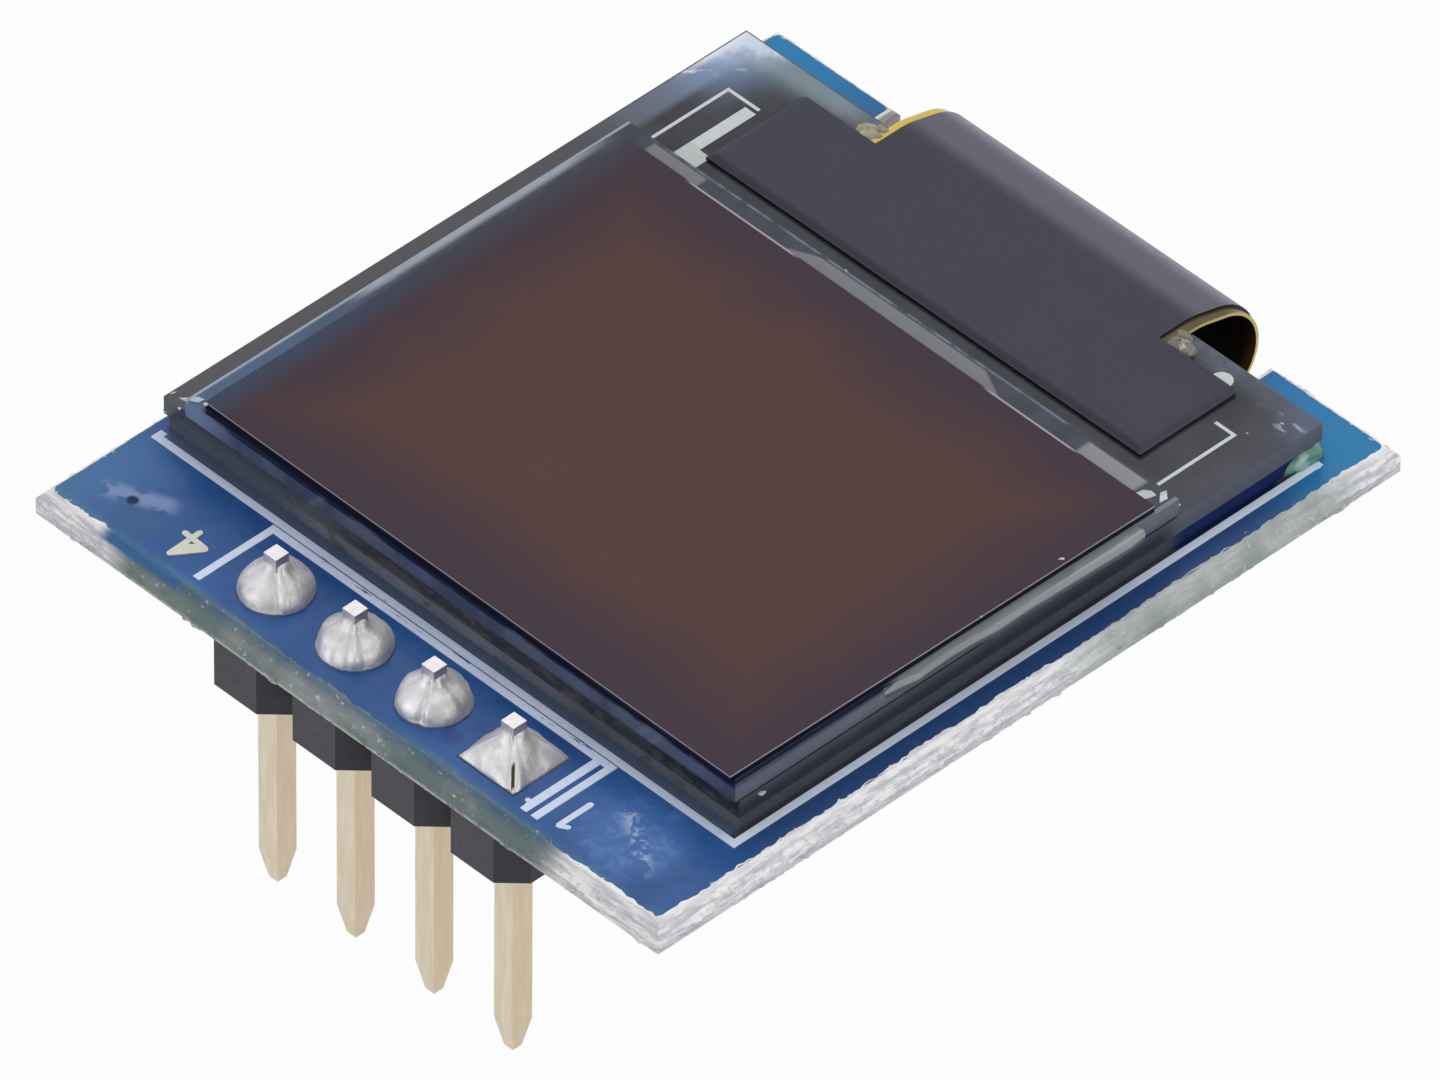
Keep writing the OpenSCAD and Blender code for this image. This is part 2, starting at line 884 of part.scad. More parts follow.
// The regulator's body: sides that draft to a parting line at the leads
module reg_section(width) {
    w = width / 2;
    d = reg_draft;
    polygon([[-w + d, reg_gap], [w - d, reg_gap], [w, reg_part_z],
             [w - d, reg_gap + reg_h], [-w + d, reg_gap + reg_h], [-w, reg_part_z]]);
}

module regulator_body() {
    color("#1d1d20")
    under_board(regulator)
    intersection() {
        rotate([90, 0, 0])
        translate([0, 0, -reg_l / 2])
        linear_extrude(reg_l)
        reg_section(reg_w);
        rotate([90, 0, 90])
        translate([0, 0, -reg_w / 2])
        linear_extrude(reg_w)
        reg_section(reg_l);
    }
}

// One bent lead, from the body's parting line down to its foot on the pad
module reg_lead() {
    t = reg_lead_t;
    top = reg_part_z + t / 2;
    y0 = reg_l / 2 - reg_draft;
    y1 = reg_span / 2;
    knee = y0 + reg_knee;
    foot = knee + reg_foot_lean;
    rotate([90, 0, 90])
    translate([0, 0, -reg_lead_w / 2])
    linear_extrude(reg_lead_w)
    polygon([[y0, top - t], [knee, top - t], [foot, 0], [y1, 0], [y1, t],
             [foot + t, t], [knee + t, top], [y0, top]]);
}

module regulator_leads() {
    color("#c6c4bd")
    difference() {
        under_board(regulator)
        for (lead = reg_leads)
            translate([lead[1], 0, 0])
            rotate(lead[0] > 0 ? 0 : 180)
            reg_lead();
        regulator_body();
    }
}

// A solder fillet against an end face at x = 0, with a hollow slope
module fillet(height, width) {
    rotate([90, 0, 0])
    translate([0, 0, -width / 2])
    linear_extrude(width)
    hollow_slope(fillet_l, 0, height, 2 * max(fillet_l, height));
}

module part_solder() {
    color("#cfccc4") {
        for (part = capacitors)
            under_board(part)
            fillet_pair(cap_h / 2);
        for (part = resistors)
            under_board(part)
            fillet_pair(res_h / 2);
        under_board(regulator)
        for (lead = reg_leads)
            translate([lead[1], lead[0] * reg_span / 2, 0])
            rotate(lead[0] * 90)
            fillet(reg_lead_t, reg_lead_w);
    }
}

module fillet_pair(height) {
    for (side = [0, 180])
        rotate(side)
        translate([chip_part_l / 2, 0, 0])
        fillet(height, fillet_w);
}

board_core();
mask_top();
mask_bottom();
board_print();
plated_hole(1);  // plated_hole_1
plated_hole(2);  // plated_hole_2
plated_hole(3);  // plated_hole_3
plated_hole(4);  // plated_hole_4
underside_pads();
header_block();
pin(1);  // pin_1
pin(2);  // pin_2
pin(3);  // pin_3
pin(4);  // pin_4
solder(1);  // solder_1
solder(2);  // solder_2
solder(3);  // solder_3
solder(4);  // solder_4
mounting_pad();
lower_glass();
ledge_traces();
pixel_layer();
panel_seal();
upper_glass();
polariser();
driver_chip();
ledge_resin();
flex_bond();
flex_film();
flex_cover();
shoulder_bead(-1);  // shoulder_bead_left
shoulder_bead(1);  // shoulder_bead_right
corner_glue();
flex_solder();
capacitor(1);  // capacitor_1
capacitor(2);  // capacitor_2
capacitor(3);  // capacitor_3
capacitor(4);  // capacitor_4
capacitor(5);  // capacitor_5
capacitor(6);  // capacitor_6
resistor(1);  // resistor_1
resistor(2);  // resistor_2
resistor(3);  // resistor_3
resistor(4);  // resistor_4
regulator_body();
regulator_leads();
part_solder();
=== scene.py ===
# %% [markdown]
# # A small OLED module
# The real thing is a square glass panel on foam tape, on a blue circuit board. A
# header of pins hangs from the board's front edge, and a flexible tail folds from
# the glass round its back edge. The CAD model gives every piece its place and
# size. This lesson gives them their finish, and adds what is too fine or too loose
# for CAD: frayed edges, printed figures, solder that has run, a smooth fold, chips.

# %% Load the model
import json
import math
import random

import bmesh
import bpy
from mathutils import Matrix, Vector, noise

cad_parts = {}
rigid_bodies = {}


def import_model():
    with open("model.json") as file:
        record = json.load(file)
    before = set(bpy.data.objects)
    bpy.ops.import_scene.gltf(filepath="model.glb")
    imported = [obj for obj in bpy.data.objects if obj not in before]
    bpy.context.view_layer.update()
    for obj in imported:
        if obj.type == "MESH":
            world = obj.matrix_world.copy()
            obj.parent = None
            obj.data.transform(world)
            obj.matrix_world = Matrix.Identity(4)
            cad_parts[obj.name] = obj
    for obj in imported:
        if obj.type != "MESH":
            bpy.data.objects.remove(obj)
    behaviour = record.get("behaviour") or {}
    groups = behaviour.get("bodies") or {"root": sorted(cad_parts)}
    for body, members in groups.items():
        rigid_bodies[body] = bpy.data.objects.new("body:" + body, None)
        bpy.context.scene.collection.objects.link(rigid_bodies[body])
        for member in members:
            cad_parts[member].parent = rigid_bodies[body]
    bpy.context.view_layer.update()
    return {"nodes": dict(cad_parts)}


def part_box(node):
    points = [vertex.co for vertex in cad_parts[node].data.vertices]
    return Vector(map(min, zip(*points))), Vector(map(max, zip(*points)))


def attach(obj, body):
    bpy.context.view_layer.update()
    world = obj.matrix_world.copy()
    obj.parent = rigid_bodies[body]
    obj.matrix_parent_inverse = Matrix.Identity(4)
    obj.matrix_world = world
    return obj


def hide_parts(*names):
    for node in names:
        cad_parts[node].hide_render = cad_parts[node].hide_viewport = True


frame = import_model()
MM = 0.001
nodes = frame["nodes"]
print("nodes", len(nodes))


# %% [markdown]
# Sizes come from the model itself, from the lowest and highest corners of its nodes,
# so nothing here repeats a number that the CAD already holds.

# %% Places in millimetres
def low(node):
    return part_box(node)[0] / MM


def high(node):
    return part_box(node)[1] / MM


BOARD0, BOARD1 = low("board_core"), high("mask_top")
GLASS0, GLASS1 = low("lower_glass"), high("lower_glass")
COVER1 = high("upper_glass")
POLAR0, POLAR1 = low("polariser"), high("polariser")
print("board top", round(BOARD1.z, 3), "glass top", round(GLASS1.z, 3))


# %% [markdown]
# A finish is a tree of shader nodes. Written out link by link it hides its own
# idea, so a small class wraps a socket and lets Python's operators add the Math
# nodes. A mask such as `1 - edge * dust` then reads as it is meant.

# %% Sockets that can be used in sums
def sign(how, turned=False):
    return lambda self, other: self.join(how, other, turned)


class Sum:
    def __init__(self, tree, socket):
        self.tree, self.socket = tree, socket

    def join(self, how, other=None, turned=False):
        pair = [self] if other is None else [other, self] if turned else [self, other]
        return self.tree.node("ShaderNodeMath", {"operation": how}, pair)[0]

    __add__ = __radd__ = sign("ADD")
    __mul__ = __rmul__ = sign("MULTIPLY")
    __sub__, __rsub__, __pow__ = sign("SUBTRACT"), sign("SUBTRACT", True), sign("POWER")
    least, most = sign("MINIMUM"), sign("MAXIMUM")

    def size(self):
        return self.join("ABSOLUTE")

    def ramp(self, start, end):
        """A smooth step from start to end."""
        settings = {"interpolation_type": "SMOOTHSTEP"}
        return self.tree.node("ShaderNodeMapRange", settings, [self, start, end])[0]

    def within(self, start, end, soft):
        """1 between start and end, with soft borders."""
        return self.ramp(start - soft, start + soft) * self.ramp(end + soft, end - soft)


def linear(colour):
    """A colour as written on screens, such as 2E5FA3, in the values a shader uses."""
    parts = [int(colour[i:i + 2], 16) / 255 for i in (0, 2, 4)]
    parts = [p / 12.92 if p <= 0.04045 else ((p + 0.055) / 1.055) ** 2.4 for p in parts]
    return tuple(parts) + (1.0,)


# %% [markdown]
# One method adds any node, from its type, its settings and what its sockets get.
# The world, the floor, every finish and every Geometry Nodes rule are filled by it.

# %% Node trees
class Tree:
    def __init__(self, tree):
        self.tree = tree
        tree.nodes.clear()

    def node(self, kind, settings=None, inputs=()):
        made = self.tree.nodes.new(kind)
        for name, value in (settings or {}).items():
            setattr(made, name, value)
        pairs = inputs.items() if isinstance(inputs, dict) else enumerate(inputs)
        for key, value in pairs:
            self.plug(made.inputs[key], value)
        found = {i: Sum(self, s) for i, s in enumerate(made.outputs)}
        found.update({s.name: Sum(self, s) for s in made.outputs})
        return found

    def plug(self, socket, value):
        if isinstance(value, Sum):
            self.tree.links.new(value.socket, socket)
        else:
            socket.default_value = value

    def backdrop_rays(self):
        """1 for camera, glossy and transmission rays, which look at the backdrop."""
        rays = self.node("ShaderNodeLightPath")
        return rays["Is Camera Ray"].most(rays["Is Glossy Ray"]).most(rays["Is Transmission Ray"])


# %% [markdown]
# A finish adds the place on the piece in millimetres, from Object coordinates, so
# that a pattern stays put from every side. It coats one mixed tone with further
# colours, each through its own mask.

# %% The finish class
class Finish(Tree):
    def __init__(self, name, **constants):
        self.material = bpy.data.materials.new(name)
        self.material.use_nodes = True
        super().__init__(self.material.node_tree)
        self.shader = self.tree.nodes.new("ShaderNodeBsdfPrincipled")
        self.output = self.tree.nodes.new("ShaderNodeOutputMaterial")
        self.tree.links.new(self.shader.outputs[0], self.output.inputs["Surface"])
        self.paint(**constants)
        place = self.node("ShaderNodeTexCoord")["Object"]
        self.place = self.node("ShaderNodeVectorMath", {"operation": "SCALE"},
                               {0: place, "Scale": 1 / MM})[0]
        self.axes = self.split(self.place)

    def paint(self, **links):
        for socket, value in links.items():
            self.plug(self.shader.inputs[socket.replace("_", " ")], value)

    def split(self, vector):
        parts = self.node("ShaderNodeSeparateXYZ", {}, [vector])
        return parts[0], parts[1], parts[2]

    def stretched(self, x, y, z):
        """The place, stretched along the axes."""
        return self.node("ShaderNodeVectorMath", {"operation": "MULTIPLY"},
                         [self.place, (x, y, z)])[0]

    def cloud(self, scale, detail=3.0, rough=0.55, at=None):
        """Soft noise from 0 to 1, with scale features to a millimetre."""
        inputs = {"Vector": at or self.place, "Scale": scale, "Detail": detail,
                  "Roughness": rough}
        return self.node("ShaderNodeTexNoise", {}, inputs)[0]

    def cells(self, scale):
        return self.node("ShaderNodeTexVoronoi", {}, {"Vector": self.place, "Scale": scale})[0]

    def box(self, x0, y0, x1, y1, soft=0.02):
        """1 inside a rectangle seen from above."""
        return self.axes[0].within(x0, x1, soft) * self.axes[1].within(y0, y1, soft)

    def facing(self):
        """The surface's own direction, as three numbers."""
        return self.split(self.node("ShaderNodeNewGeometry")["Normal"])

    def coat(self, share, one, other, *coats, **links):
        """Two colours mixed by a share, or by a cloud of that scale, under coats of others."""
        share = share if isinstance(share, Sum) else self.cloud(share)
        tone = linear(one)
        for mask, colour in ((share, other), *coats):
            tone = self.node("ShaderNodeMix", {"data_type": "RGBA"},
                             {0: mask, 6: tone, 7: linear(colour)})[2]
        self.paint(Base_Color=tone, **links)
        return self

    def spot(self, x, y, radius, soft):
        """1 near a point seen from above."""
        across, along = self.axes[0] - x, self.axes[1] - y
        return ((across * across + along * along) ** 0.5).ramp(radius + soft, radius)

    def sides(self):
        """Masks of the faces that look up, to the front, right, left and back."""
        x, y, z = self.facing()
        return (z.ramp(0.4, 0.6), y.ramp(-0.4, -0.6), x.ramp(0.4, 0.6), x.ramp(-0.4, -0.6),
                y.ramp(0.4, 0.6))

    def bump(self, height, deep):
        """Bump of deep millimetres from a height of 0 to 1, or from a cloud of that scale."""
        height = height if isinstance(height, Sum) else self.cloud(height)
        made = self.node("ShaderNodeBump", {}, {"Strength": 1.0, "Distance": deep * MM,
                                                "Height": height})
        self.paint(Normal=made[0])
        return self

    def on(self, *names):
        """Puts the finish on nodes of the CAD model."""
        for name in names:
            slots = nodes[name].data.materials
            slots.clear()
            slots.append(self.material)
        print(self.material.name, "on", len(names), "nodes")


print("finish tools ready")


# %% [markdown]
# ## Camera
# The module is seen from above its front right side with a long lens, so its
# edges stay almost parallel. Two angles, a distance and the point it looks at
# give the camera's place.

# %% Camera
def placed(name, data):
    made = bpy.data.objects.new(name, data)
    bpy.context.scene.collection.objects.link(made)
    return made


AZIMUTH, ELEVATION, ROLL = math.radians(45.563), math.radians(41.969), math.radians(0.575)
DISTANCE, LENS = 0.586062, 658.02
AIM = Vector((1.2698, 8.7820, 1.8348)) * MM
back = Vector((math.sin(AZIMUTH) * math.cos(ELEVATION),
               -math.cos(AZIMUTH) * math.cos(ELEVATION), math.sin(ELEVATION)))
across = Vector((math.cos(AZIMUTH), math.sin(AZIMUTH), 0))
up = back.cross(across)
right = math.cos(ROLL) * across + math.sin(ROLL) * up
up = math.cos(ROLL) * up - math.sin(ROLL) * across
lens = bpy.data.cameras.new("camera")
lens.lens, lens.sensor_width, lens.sensor_fit = LENS, 36.0, "HORIZONTAL"
lens.clip_start, lens.clip_end = 0.01, 20.0
camera = placed("camera", lens)
turn = Matrix((right, up, back)).transposed().to_4x4()
camera.matrix_world = Matrix.Translation(AIM + back * DISTANCE) @ turn
bpy.context.scene.camera = camera
bpy.context.scene.view_settings.view_transform = "Standard"
print("camera at", [round(c, 3) for c in camera.matrix_world.translation])


# %% [markdown]
# ## Light and floor
# A product like this is lit by large soft boxes, so that bright metal reflects
# broad white shapes. Area lamps stand in for the boxes, and a pale world fills
# the shadows. Rays that look at the backdrop see it plain white, while other rays
# get less, which sets the level of light on the object.

# %% World
FILL = 0.55
world = bpy.data.worlds.new("studio")
bpy.context.scene.world = world
world.use_nodes = True
studio = Tree(world.node_tree)
rays = studio.backdrop_rays()
level = studio.node("ShaderNodeMapRange", {}, {"Value": rays, "To Min": FILL})[0]
sky = studio.node("ShaderNodeBackground", {}, {"Strength": level})[0]
studio.node("ShaderNodeOutputWorld", {}, {"Surface": sky})
print("world fill", FILL)


# %% Soft boxes
def soft_box(name, place, size, power, aim=(0, 9, 2)):
    lamp = bpy.data.lights.new(name, "AREA")
    lamp.shape, lamp.size, lamp.size_y = "RECTANGLE", size[0] * MM, size[1] * MM
    lamp.energy = power
    place, aim = Vector(place) * MM, Vector(aim) * MM
    facing = (place - aim).to_track_quat("Z", "Y").to_matrix().to_4x4()
    placed(name, lamp).matrix_world = Matrix.Translation(place) @ facing


soft_box("box_overhead", (-20, 60, 170), (180, 180), 0.13)
soft_box("box_front", (-60, -170, 60), (140, 110), 0.06)
soft_box("box_right", (190, -10, 60), (110, 140), 0.1)
print("three soft boxes")


# %% [markdown]
# The floor is a pale sheet well below the pins. It gives off part of its white
# itself, as a bright background, and the lamps light the rest, so that it still
# takes a soft shadow.

# %% Floor
FLOOR_Z, FLOOR_REACH = -30.0, 4000.0
GLOW = 0.9
corners = [(x * FLOOR_REACH * MM, y * FLOOR_REACH * MM, FLOOR_Z * MM)
           for x, y in ((-1, -1), (1, -1), (1, 1), (-1, 1))]
sheet = bpy.data.meshes.new("floor")
sheet.from_pydata(corners, [], [(0, 1, 2, 3)])
floor = placed("floor", sheet)
pale = Finish("pale_floor", Roughness=1.0, Specular_IOR_Level=0.0)
pale.coat(pale.cloud(0.02, 2.0) * 0.04, "FFFFFF", "E8E8E8")
glow = pale.node("ShaderNodeEmission", {}, {"Strength": 1.0})[0]
both = pale.node("ShaderNodeMixShader", {},
                 [pale.backdrop_rays() * GLOW, Sum(pale, pale.shader.outputs[0]), glow])[0]
pale.plug(pale.output.inputs["Surface"], both)
sheet.materials.append(pale.material)
print("floor at", FLOOR_Z)


# %% [markdown]
# ## Meshes in millimetres
# The pieces that CAD leaves out are made point by point in millimetres. A shell is
# closed, its doubles are merged and its faces are turned outwards, so that it is
# also a sound solid.

# %% Shells, plates and pieces
# Points nearer than this become one
WELD = 0.0005


def shell(points, faces, smooth=False):
    mesh = bpy.data.meshes.new("shell")
    mesh.from_pydata([Vector(p) * MM for p in points], [], faces)
    work = bmesh.new()
    work.from_mesh(mesh)
    bmesh.ops.remove_doubles(work, verts=work.verts, dist=WELD * MM)
    bmesh.ops.recalc_face_normals(work, faces=work.faces)
    work.to_mesh(mesh)
    work.free()
    for face in mesh.polygons:
        face.use_smooth = smooth
    return mesh


def plates(*outlines):
    """Closed plates, each from its outline, its foot and its top."""
    points, faces = [], []
    for outline, foot, top in outlines:
        first, count = len(points), len(outline)
        tops = top if isinstance(top, (list, tuple)) else [top] * count
        points += [(x, y, foot) for x, y in outline]
        points += [(x, y, z) for (x, y), z in zip(outline, tops)]
        faces.append([first + k for k in reversed(range(count))])
        faces.append([first + count + k for k in range(count)])
        faces += [(first + k, first + (k + 1) % count, first + count + (k + 1) % count,
                   first + count + k) for k in range(count)]
    return shell(points, faces)


def lofted(points, count, smooth=False):
    """A closed shell over rings of count points each."""
    faces = []
    for first in range(0, len(points) - count, count):
        for j in range(count):
            a, b = first + j, first + (j + 1) % count
            faces.append((a, b, b + count, a + count))
    faces.append(tuple(range(count)))
    faces.append(tuple(range(len(points) - count, len(points))))
    return shell(points, faces, smooth)


def joined(*meshes):
    work = bmesh.new()
    for mesh in meshes:
        work.from_mesh(mesh)
    made = bpy.data.meshes.new("joined")
    work.to_mesh(made)
    work.free()
    return made


def piece(name, mesh, finish, slot, *stands_for):
    """A finished mesh as a piece that moves with the module."""
    mesh.materials.clear()
    mesh.materials.append(finish.material)
    made = placed(name, mesh)
    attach(made, "root")
    if stands_for:
        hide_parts(*stands_for)
    print(name, len(mesh.polygons), "faces")


# %% [markdown]
# Geometry Nodes take over where something repeats or follows a path. The next
# class builds such a tree, runs it on a starting mesh and hands back a plain mesh.

# %% Rules made of Geometry Nodes
class Rule(Tree):
    def __init__(self, name, **sizes):
        super().__init__(bpy.data.node_groups.new(name, "GeometryNodeTree"))
        face = self.tree.interface
        face.new_socket("Geometry", in_out="INPUT", socket_type="NodeSocketGeometry")
        face.new_socket("Geometry", in_out="OUTPUT", socket_type="NodeSocketGeometry")
        self.ids = {}
        for title, kind in {**sizes, "Finish": "Material"}.items():
            made = face.new_socket(title, in_out="INPUT", socket_type="NodeSocket" + kind)
            self.ids[title] = made.identifier
        self.given = self.node("NodeGroupInput")

    def close(self, geometry):
        real = self.node("GeometryNodeRealizeInstances", {}, [geometry])[0]
        dressed = self.node("GeometryNodeSetMaterial", {},
                            {"Geometry": real, "Material": self.given["Finish"]})[0]
        self.node("NodeGroupOutput", {}, [dressed])

    def grow(self, start, finish, **sizes):
        """Runs the rule on a starting mesh and gives a plain mesh."""
        seed = placed("seed", start)
        rule = seed.modifiers.new("rule", "NODES")
        rule.node_group = self.tree
        rule[self.ids["Finish"]] = finish.material
        for title, value in sizes.items():
            rule[self.ids[title]] = value
        depsgraph = bpy.context.evaluated_depsgraph_get()
        grown = bpy.data.meshes.new_from_object(seed.evaluated_get(depsgraph))
        bpy.data.objects.remove(seed)
        return grown


print("mesh tools ready")


# %% [markdown]
# ## The board
# The board is glass fibre under a blue coat of solder mask. Gloss comes from the
# coat, so the colour stays saturated where the sky is not mirrored. Patches of
# lighter and darker blue, painted light and shade at its edges and corners, smears
# of dried flux and the panel's painted shadow are mixed in by their place on the
# board.

# %% Solder mask
# The panel's shadow on the board, and its darkest part below the ledge
SHADOW = (-9.3, 1.62, 9.14, 19.6)
HOLLOW = (8.7, 15.4, 9.16, 18.6)
mask = Finish("blue_mask", Roughness=0.3, Specular_IOR_Level=0.25)
x, y, z = mask.axes
broad, small, flux = mask.cloud(0.3), mask.cloud(2.5, 4.0), mask.cloud(1.6, 5.0, 0.65)
above = z.ramp(BOARD0.z + 0.3, BOARD1.z - 0.3)
behind = y.ramp(17.0, 20.5) * x.size().ramp(4.0, 8.5)
front_left = x.ramp(-7.6, -9.4) * y.ramp(3.0, 0.0)
east, north = x + 8.14, y + 0.2
smear = above * ((east * 0.92 + north * 0.39).within(-0.85, 0.95, 0.25)
                 * (north * 0.92 - east * 0.39).within(-0.16, 0.32, 0.16)
                 * flux.ramp(0.42, 0.5))
patch = mask.spot(7.5, 0.1, 0.7, 1.0)
flecks = above * ((x * 0.55 + y * 0.84).within(4.15, 4.4, 0.2)
                  * x.within(6.6, 8.5, 0.3) * flux.ramp(0.48, 0.55))
under = mask.box(*SHADOW, 0.03) * above
mask.coat(
    broad.ramp(0.35, 0.65), "234F8C", "2F5D9E",
    # Painted light and shade: deeper blue along the right edge, lighter blue at the front-left
    # corner and at the back corners
    (x.ramp(9.1, 9.3) * y.ramp(0.5, 3.0) * 0.85, "2A4878"),
    (front_left * 0.8, "4472A4"), (behind * 0.9, "1E84BE"),
    (small.ramp(0.62, 0.75) * 0.2, "4A7CC0"),
    (y.ramp(-1.05, -1.3) * broad.ramp(0.4, 0.6) * 0.6, "4C7F97"),
    (patch * 0.4, "4F7FC4"), (patch * flux.ramp(0.45, 0.6) * 0.4, "6F94D0"),
    (flecks, "A9BCDD"), (mask.spot(-7.7, -0.65, 0.45, 0.35) * 0.7, "2F5E8C"),
    (smear * 0.85, "8498C4"), (mask.spot(-8.17, -0.29, 0.1, 0.1), "14264C"),
    (mask.spot(2.35, -0.55, 0.12, 0.25) * 0.6, "1A3478"),
    # The panel's painted shadow, darker towards the right and darkest below the ledge
    (under, "586B85"), (under * x.ramp(8.8, 9.0), "3E424C"),
    (mask.box(*HOLLOW, 0.12) * above, "152654"),
    Roughness=0.2 + 0.25 * small + 0.3 * smear)
mask.bump(mask.cloud(1.1) + 0.4 * flux, 0.03).on("mask_top", "mask_bottom")


# %% [markdown]
# The board was cut along a V-shaped score and snapped, so its rim is a sloping cut
# with a broken web of bare fibre along its middle. The CAD has the slopes. The rim
# is built again as a band all round, whose rows of points wander more the nearer
# they are to the web, stretched along the edge as the fibres are.

# %% The rim's path
NOTCH0, NOTCH1 = -6.0, 6.16
FACE0, FACE1 = low("mask_top"), high("mask_top")
CORNER, ARC_STEPS = 0.2, 8
STEP = 0.05


def rim_path():
    """Places round the board from one end of the notch to the other, with the way out."""
    x0, y0, x1, y1 = FACE0.x, FACE0.y, FACE1.x, FACE1.y
    corners = [(x1, y1, 90), (x1, y0, 0), (x0, y0, -90), (x0, y1, -180)]
    path = []

    def straight(start, end, out):
        length = (Vector(end) - Vector(start)).length
        for k in range(int(length / STEP)):
            at = Vector(start).lerp(Vector(end), k * STEP / length)
            path.append((at.x, at.y, math.radians(out)))

    at = (NOTCH1, y1)
    for x, y, out in corners:
        centre = (x - math.copysign(CORNER, x), y + CORNER if y == y0 else y - CORNER)

        def on_arc(turn):
            return centre[0] + CORNER * math.cos(turn), centre[1] + CORNER * math.sin(turn)

        heading = math.radians(out)
        straight(at, on_arc(heading), out)
        for k in range(ARC_STEPS + 1):
            turn = heading - math.pi / 2 * k / ARC_STEPS
            path.append((*on_arc(turn), turn))
        at = on_arc(heading - math.pi / 2)
    straight(at, (NOTCH0, y1), -270)
    return path


rim = rim_path()
print("rim points", len(rim))

# %% Ragged rim
# The left and back edges broke cleaner, over a strip this wide
CALM_WIDTH = 0.6
# Rows of the band: way out from the face's edge, height, and how far each wanders
TOP, FOOT = BOARD1.z, low("mask_bottom").z
MIDDLE = (TOP + FOOT) / 2
ROWS = [(-0.16, TOP - 0.06, 0.0), (-0.03, TOP + 0.004, 0.07), (0.03, TOP + 0.002, 0.02),
        (0.1, TOP - 0.12, 0.03), (0.17, TOP - 0.22, 0.04), (0.23, TOP - 0.3, 0.05),
        (0.29, MIDDLE + 0.13, 0.08), (0.31, MIDDLE, 0.07), (0.28, MIDDLE - 0.13, 0.08),
        (0.2, FOOT + 0.28, 0.05), (0.1, FOOT + 0.12, 0.03), (0.0, FOOT + 0.01, 0.03),
        (-0.16, FOOT + 0.06, 0.0)]


def wander(along, row, grain, seed):
    return noise.noise(Vector((along * grain, row * 1.7, seed)))


points = []
along = 0.0
for x, y, out in rim:
    along += STEP
    calm = min(1.0, max(0.2, min(x - FACE0.x, FACE1.y - y) / CALM_WIDTH))
    for j, (way, z, loose) in enumerate(ROWS):
        if j in (1, 2):
            way, loose = way * calm, loose * calm
        push = way + loose * (1.1 * wander(along, j, 0.8, 3.0) + wander(along, j, 5.0, 7.0))
        lift = 0.7 * loose * wander(along, j, 1.6, 11.0) if 1 < j < 11 else 0.0
        points.append((x + push * math.cos(out), y + push * math.sin(out), z + lift))
rim_mesh = lofted(points, len(ROWS))
print("rim faces", len(rim_mesh.polygons))

# %% [markdown]
# Loose ends of glass stand out of the broken rim. A rule scatters points over the
# band, puts a thin sliver on each, and lays it along the edge, a little astray.

# %% Loose fibres
fibres = Rule("scattered_slivers", Density="Float", Length="Float", Girth="Float",
              Disorder="Float", Seed="Int")
given = fibres.given
spread = fibres.node("GeometryNodeDistributePointsOnFaces", {}, {
    "Mesh": given["Geometry"], "Density": given["Density"], "Seed": given["Seed"]})
lengthwise = fibres.node("ShaderNodeVectorMath", {"operation": "CROSS_PRODUCT"},
                         [spread["Normal"], (0.0, 0.0, 1.0)])[0]
ends = [fibres.node("ShaderNodeCombineXYZ", {}, [v, v, v])[0]
        for v in (given["Disorder"] * -1.0, given["Disorder"])]
astray = fibres.node("FunctionNodeRandomValue", {"data_type": "FLOAT_VECTOR"},
                     {0: ends[0], 1: ends[1], "Seed": given["Seed"]})[0]
lying = fibres.node("ShaderNodeVectorMath", {"operation": "ADD"}, [lengthwise, astray])[0]
turned = fibres.node("FunctionNodeAlignRotationToVector", {"axis": "Z"}, {"Vector": lying})[0]
sliver = fibres.node("GeometryNodeMeshCone", {}, {
    "Vertices": 4, "Radius Top": 0.0, "Radius Bottom": given["Girth"],
    "Depth": given["Length"]})["Mesh"]
scaled = fibres.node("FunctionNodeRandomValue", {"data_type": "FLOAT"},
                     {2: 0.4, 3: 1.5, "Seed": given["Seed"]})[1]
fibres.close(fibres.node("GeometryNodeInstanceOnPoints", {}, {
    "Points": spread["Points"], "Instance": sliver, "Rotation": turned, "Scale": scaled})[0])

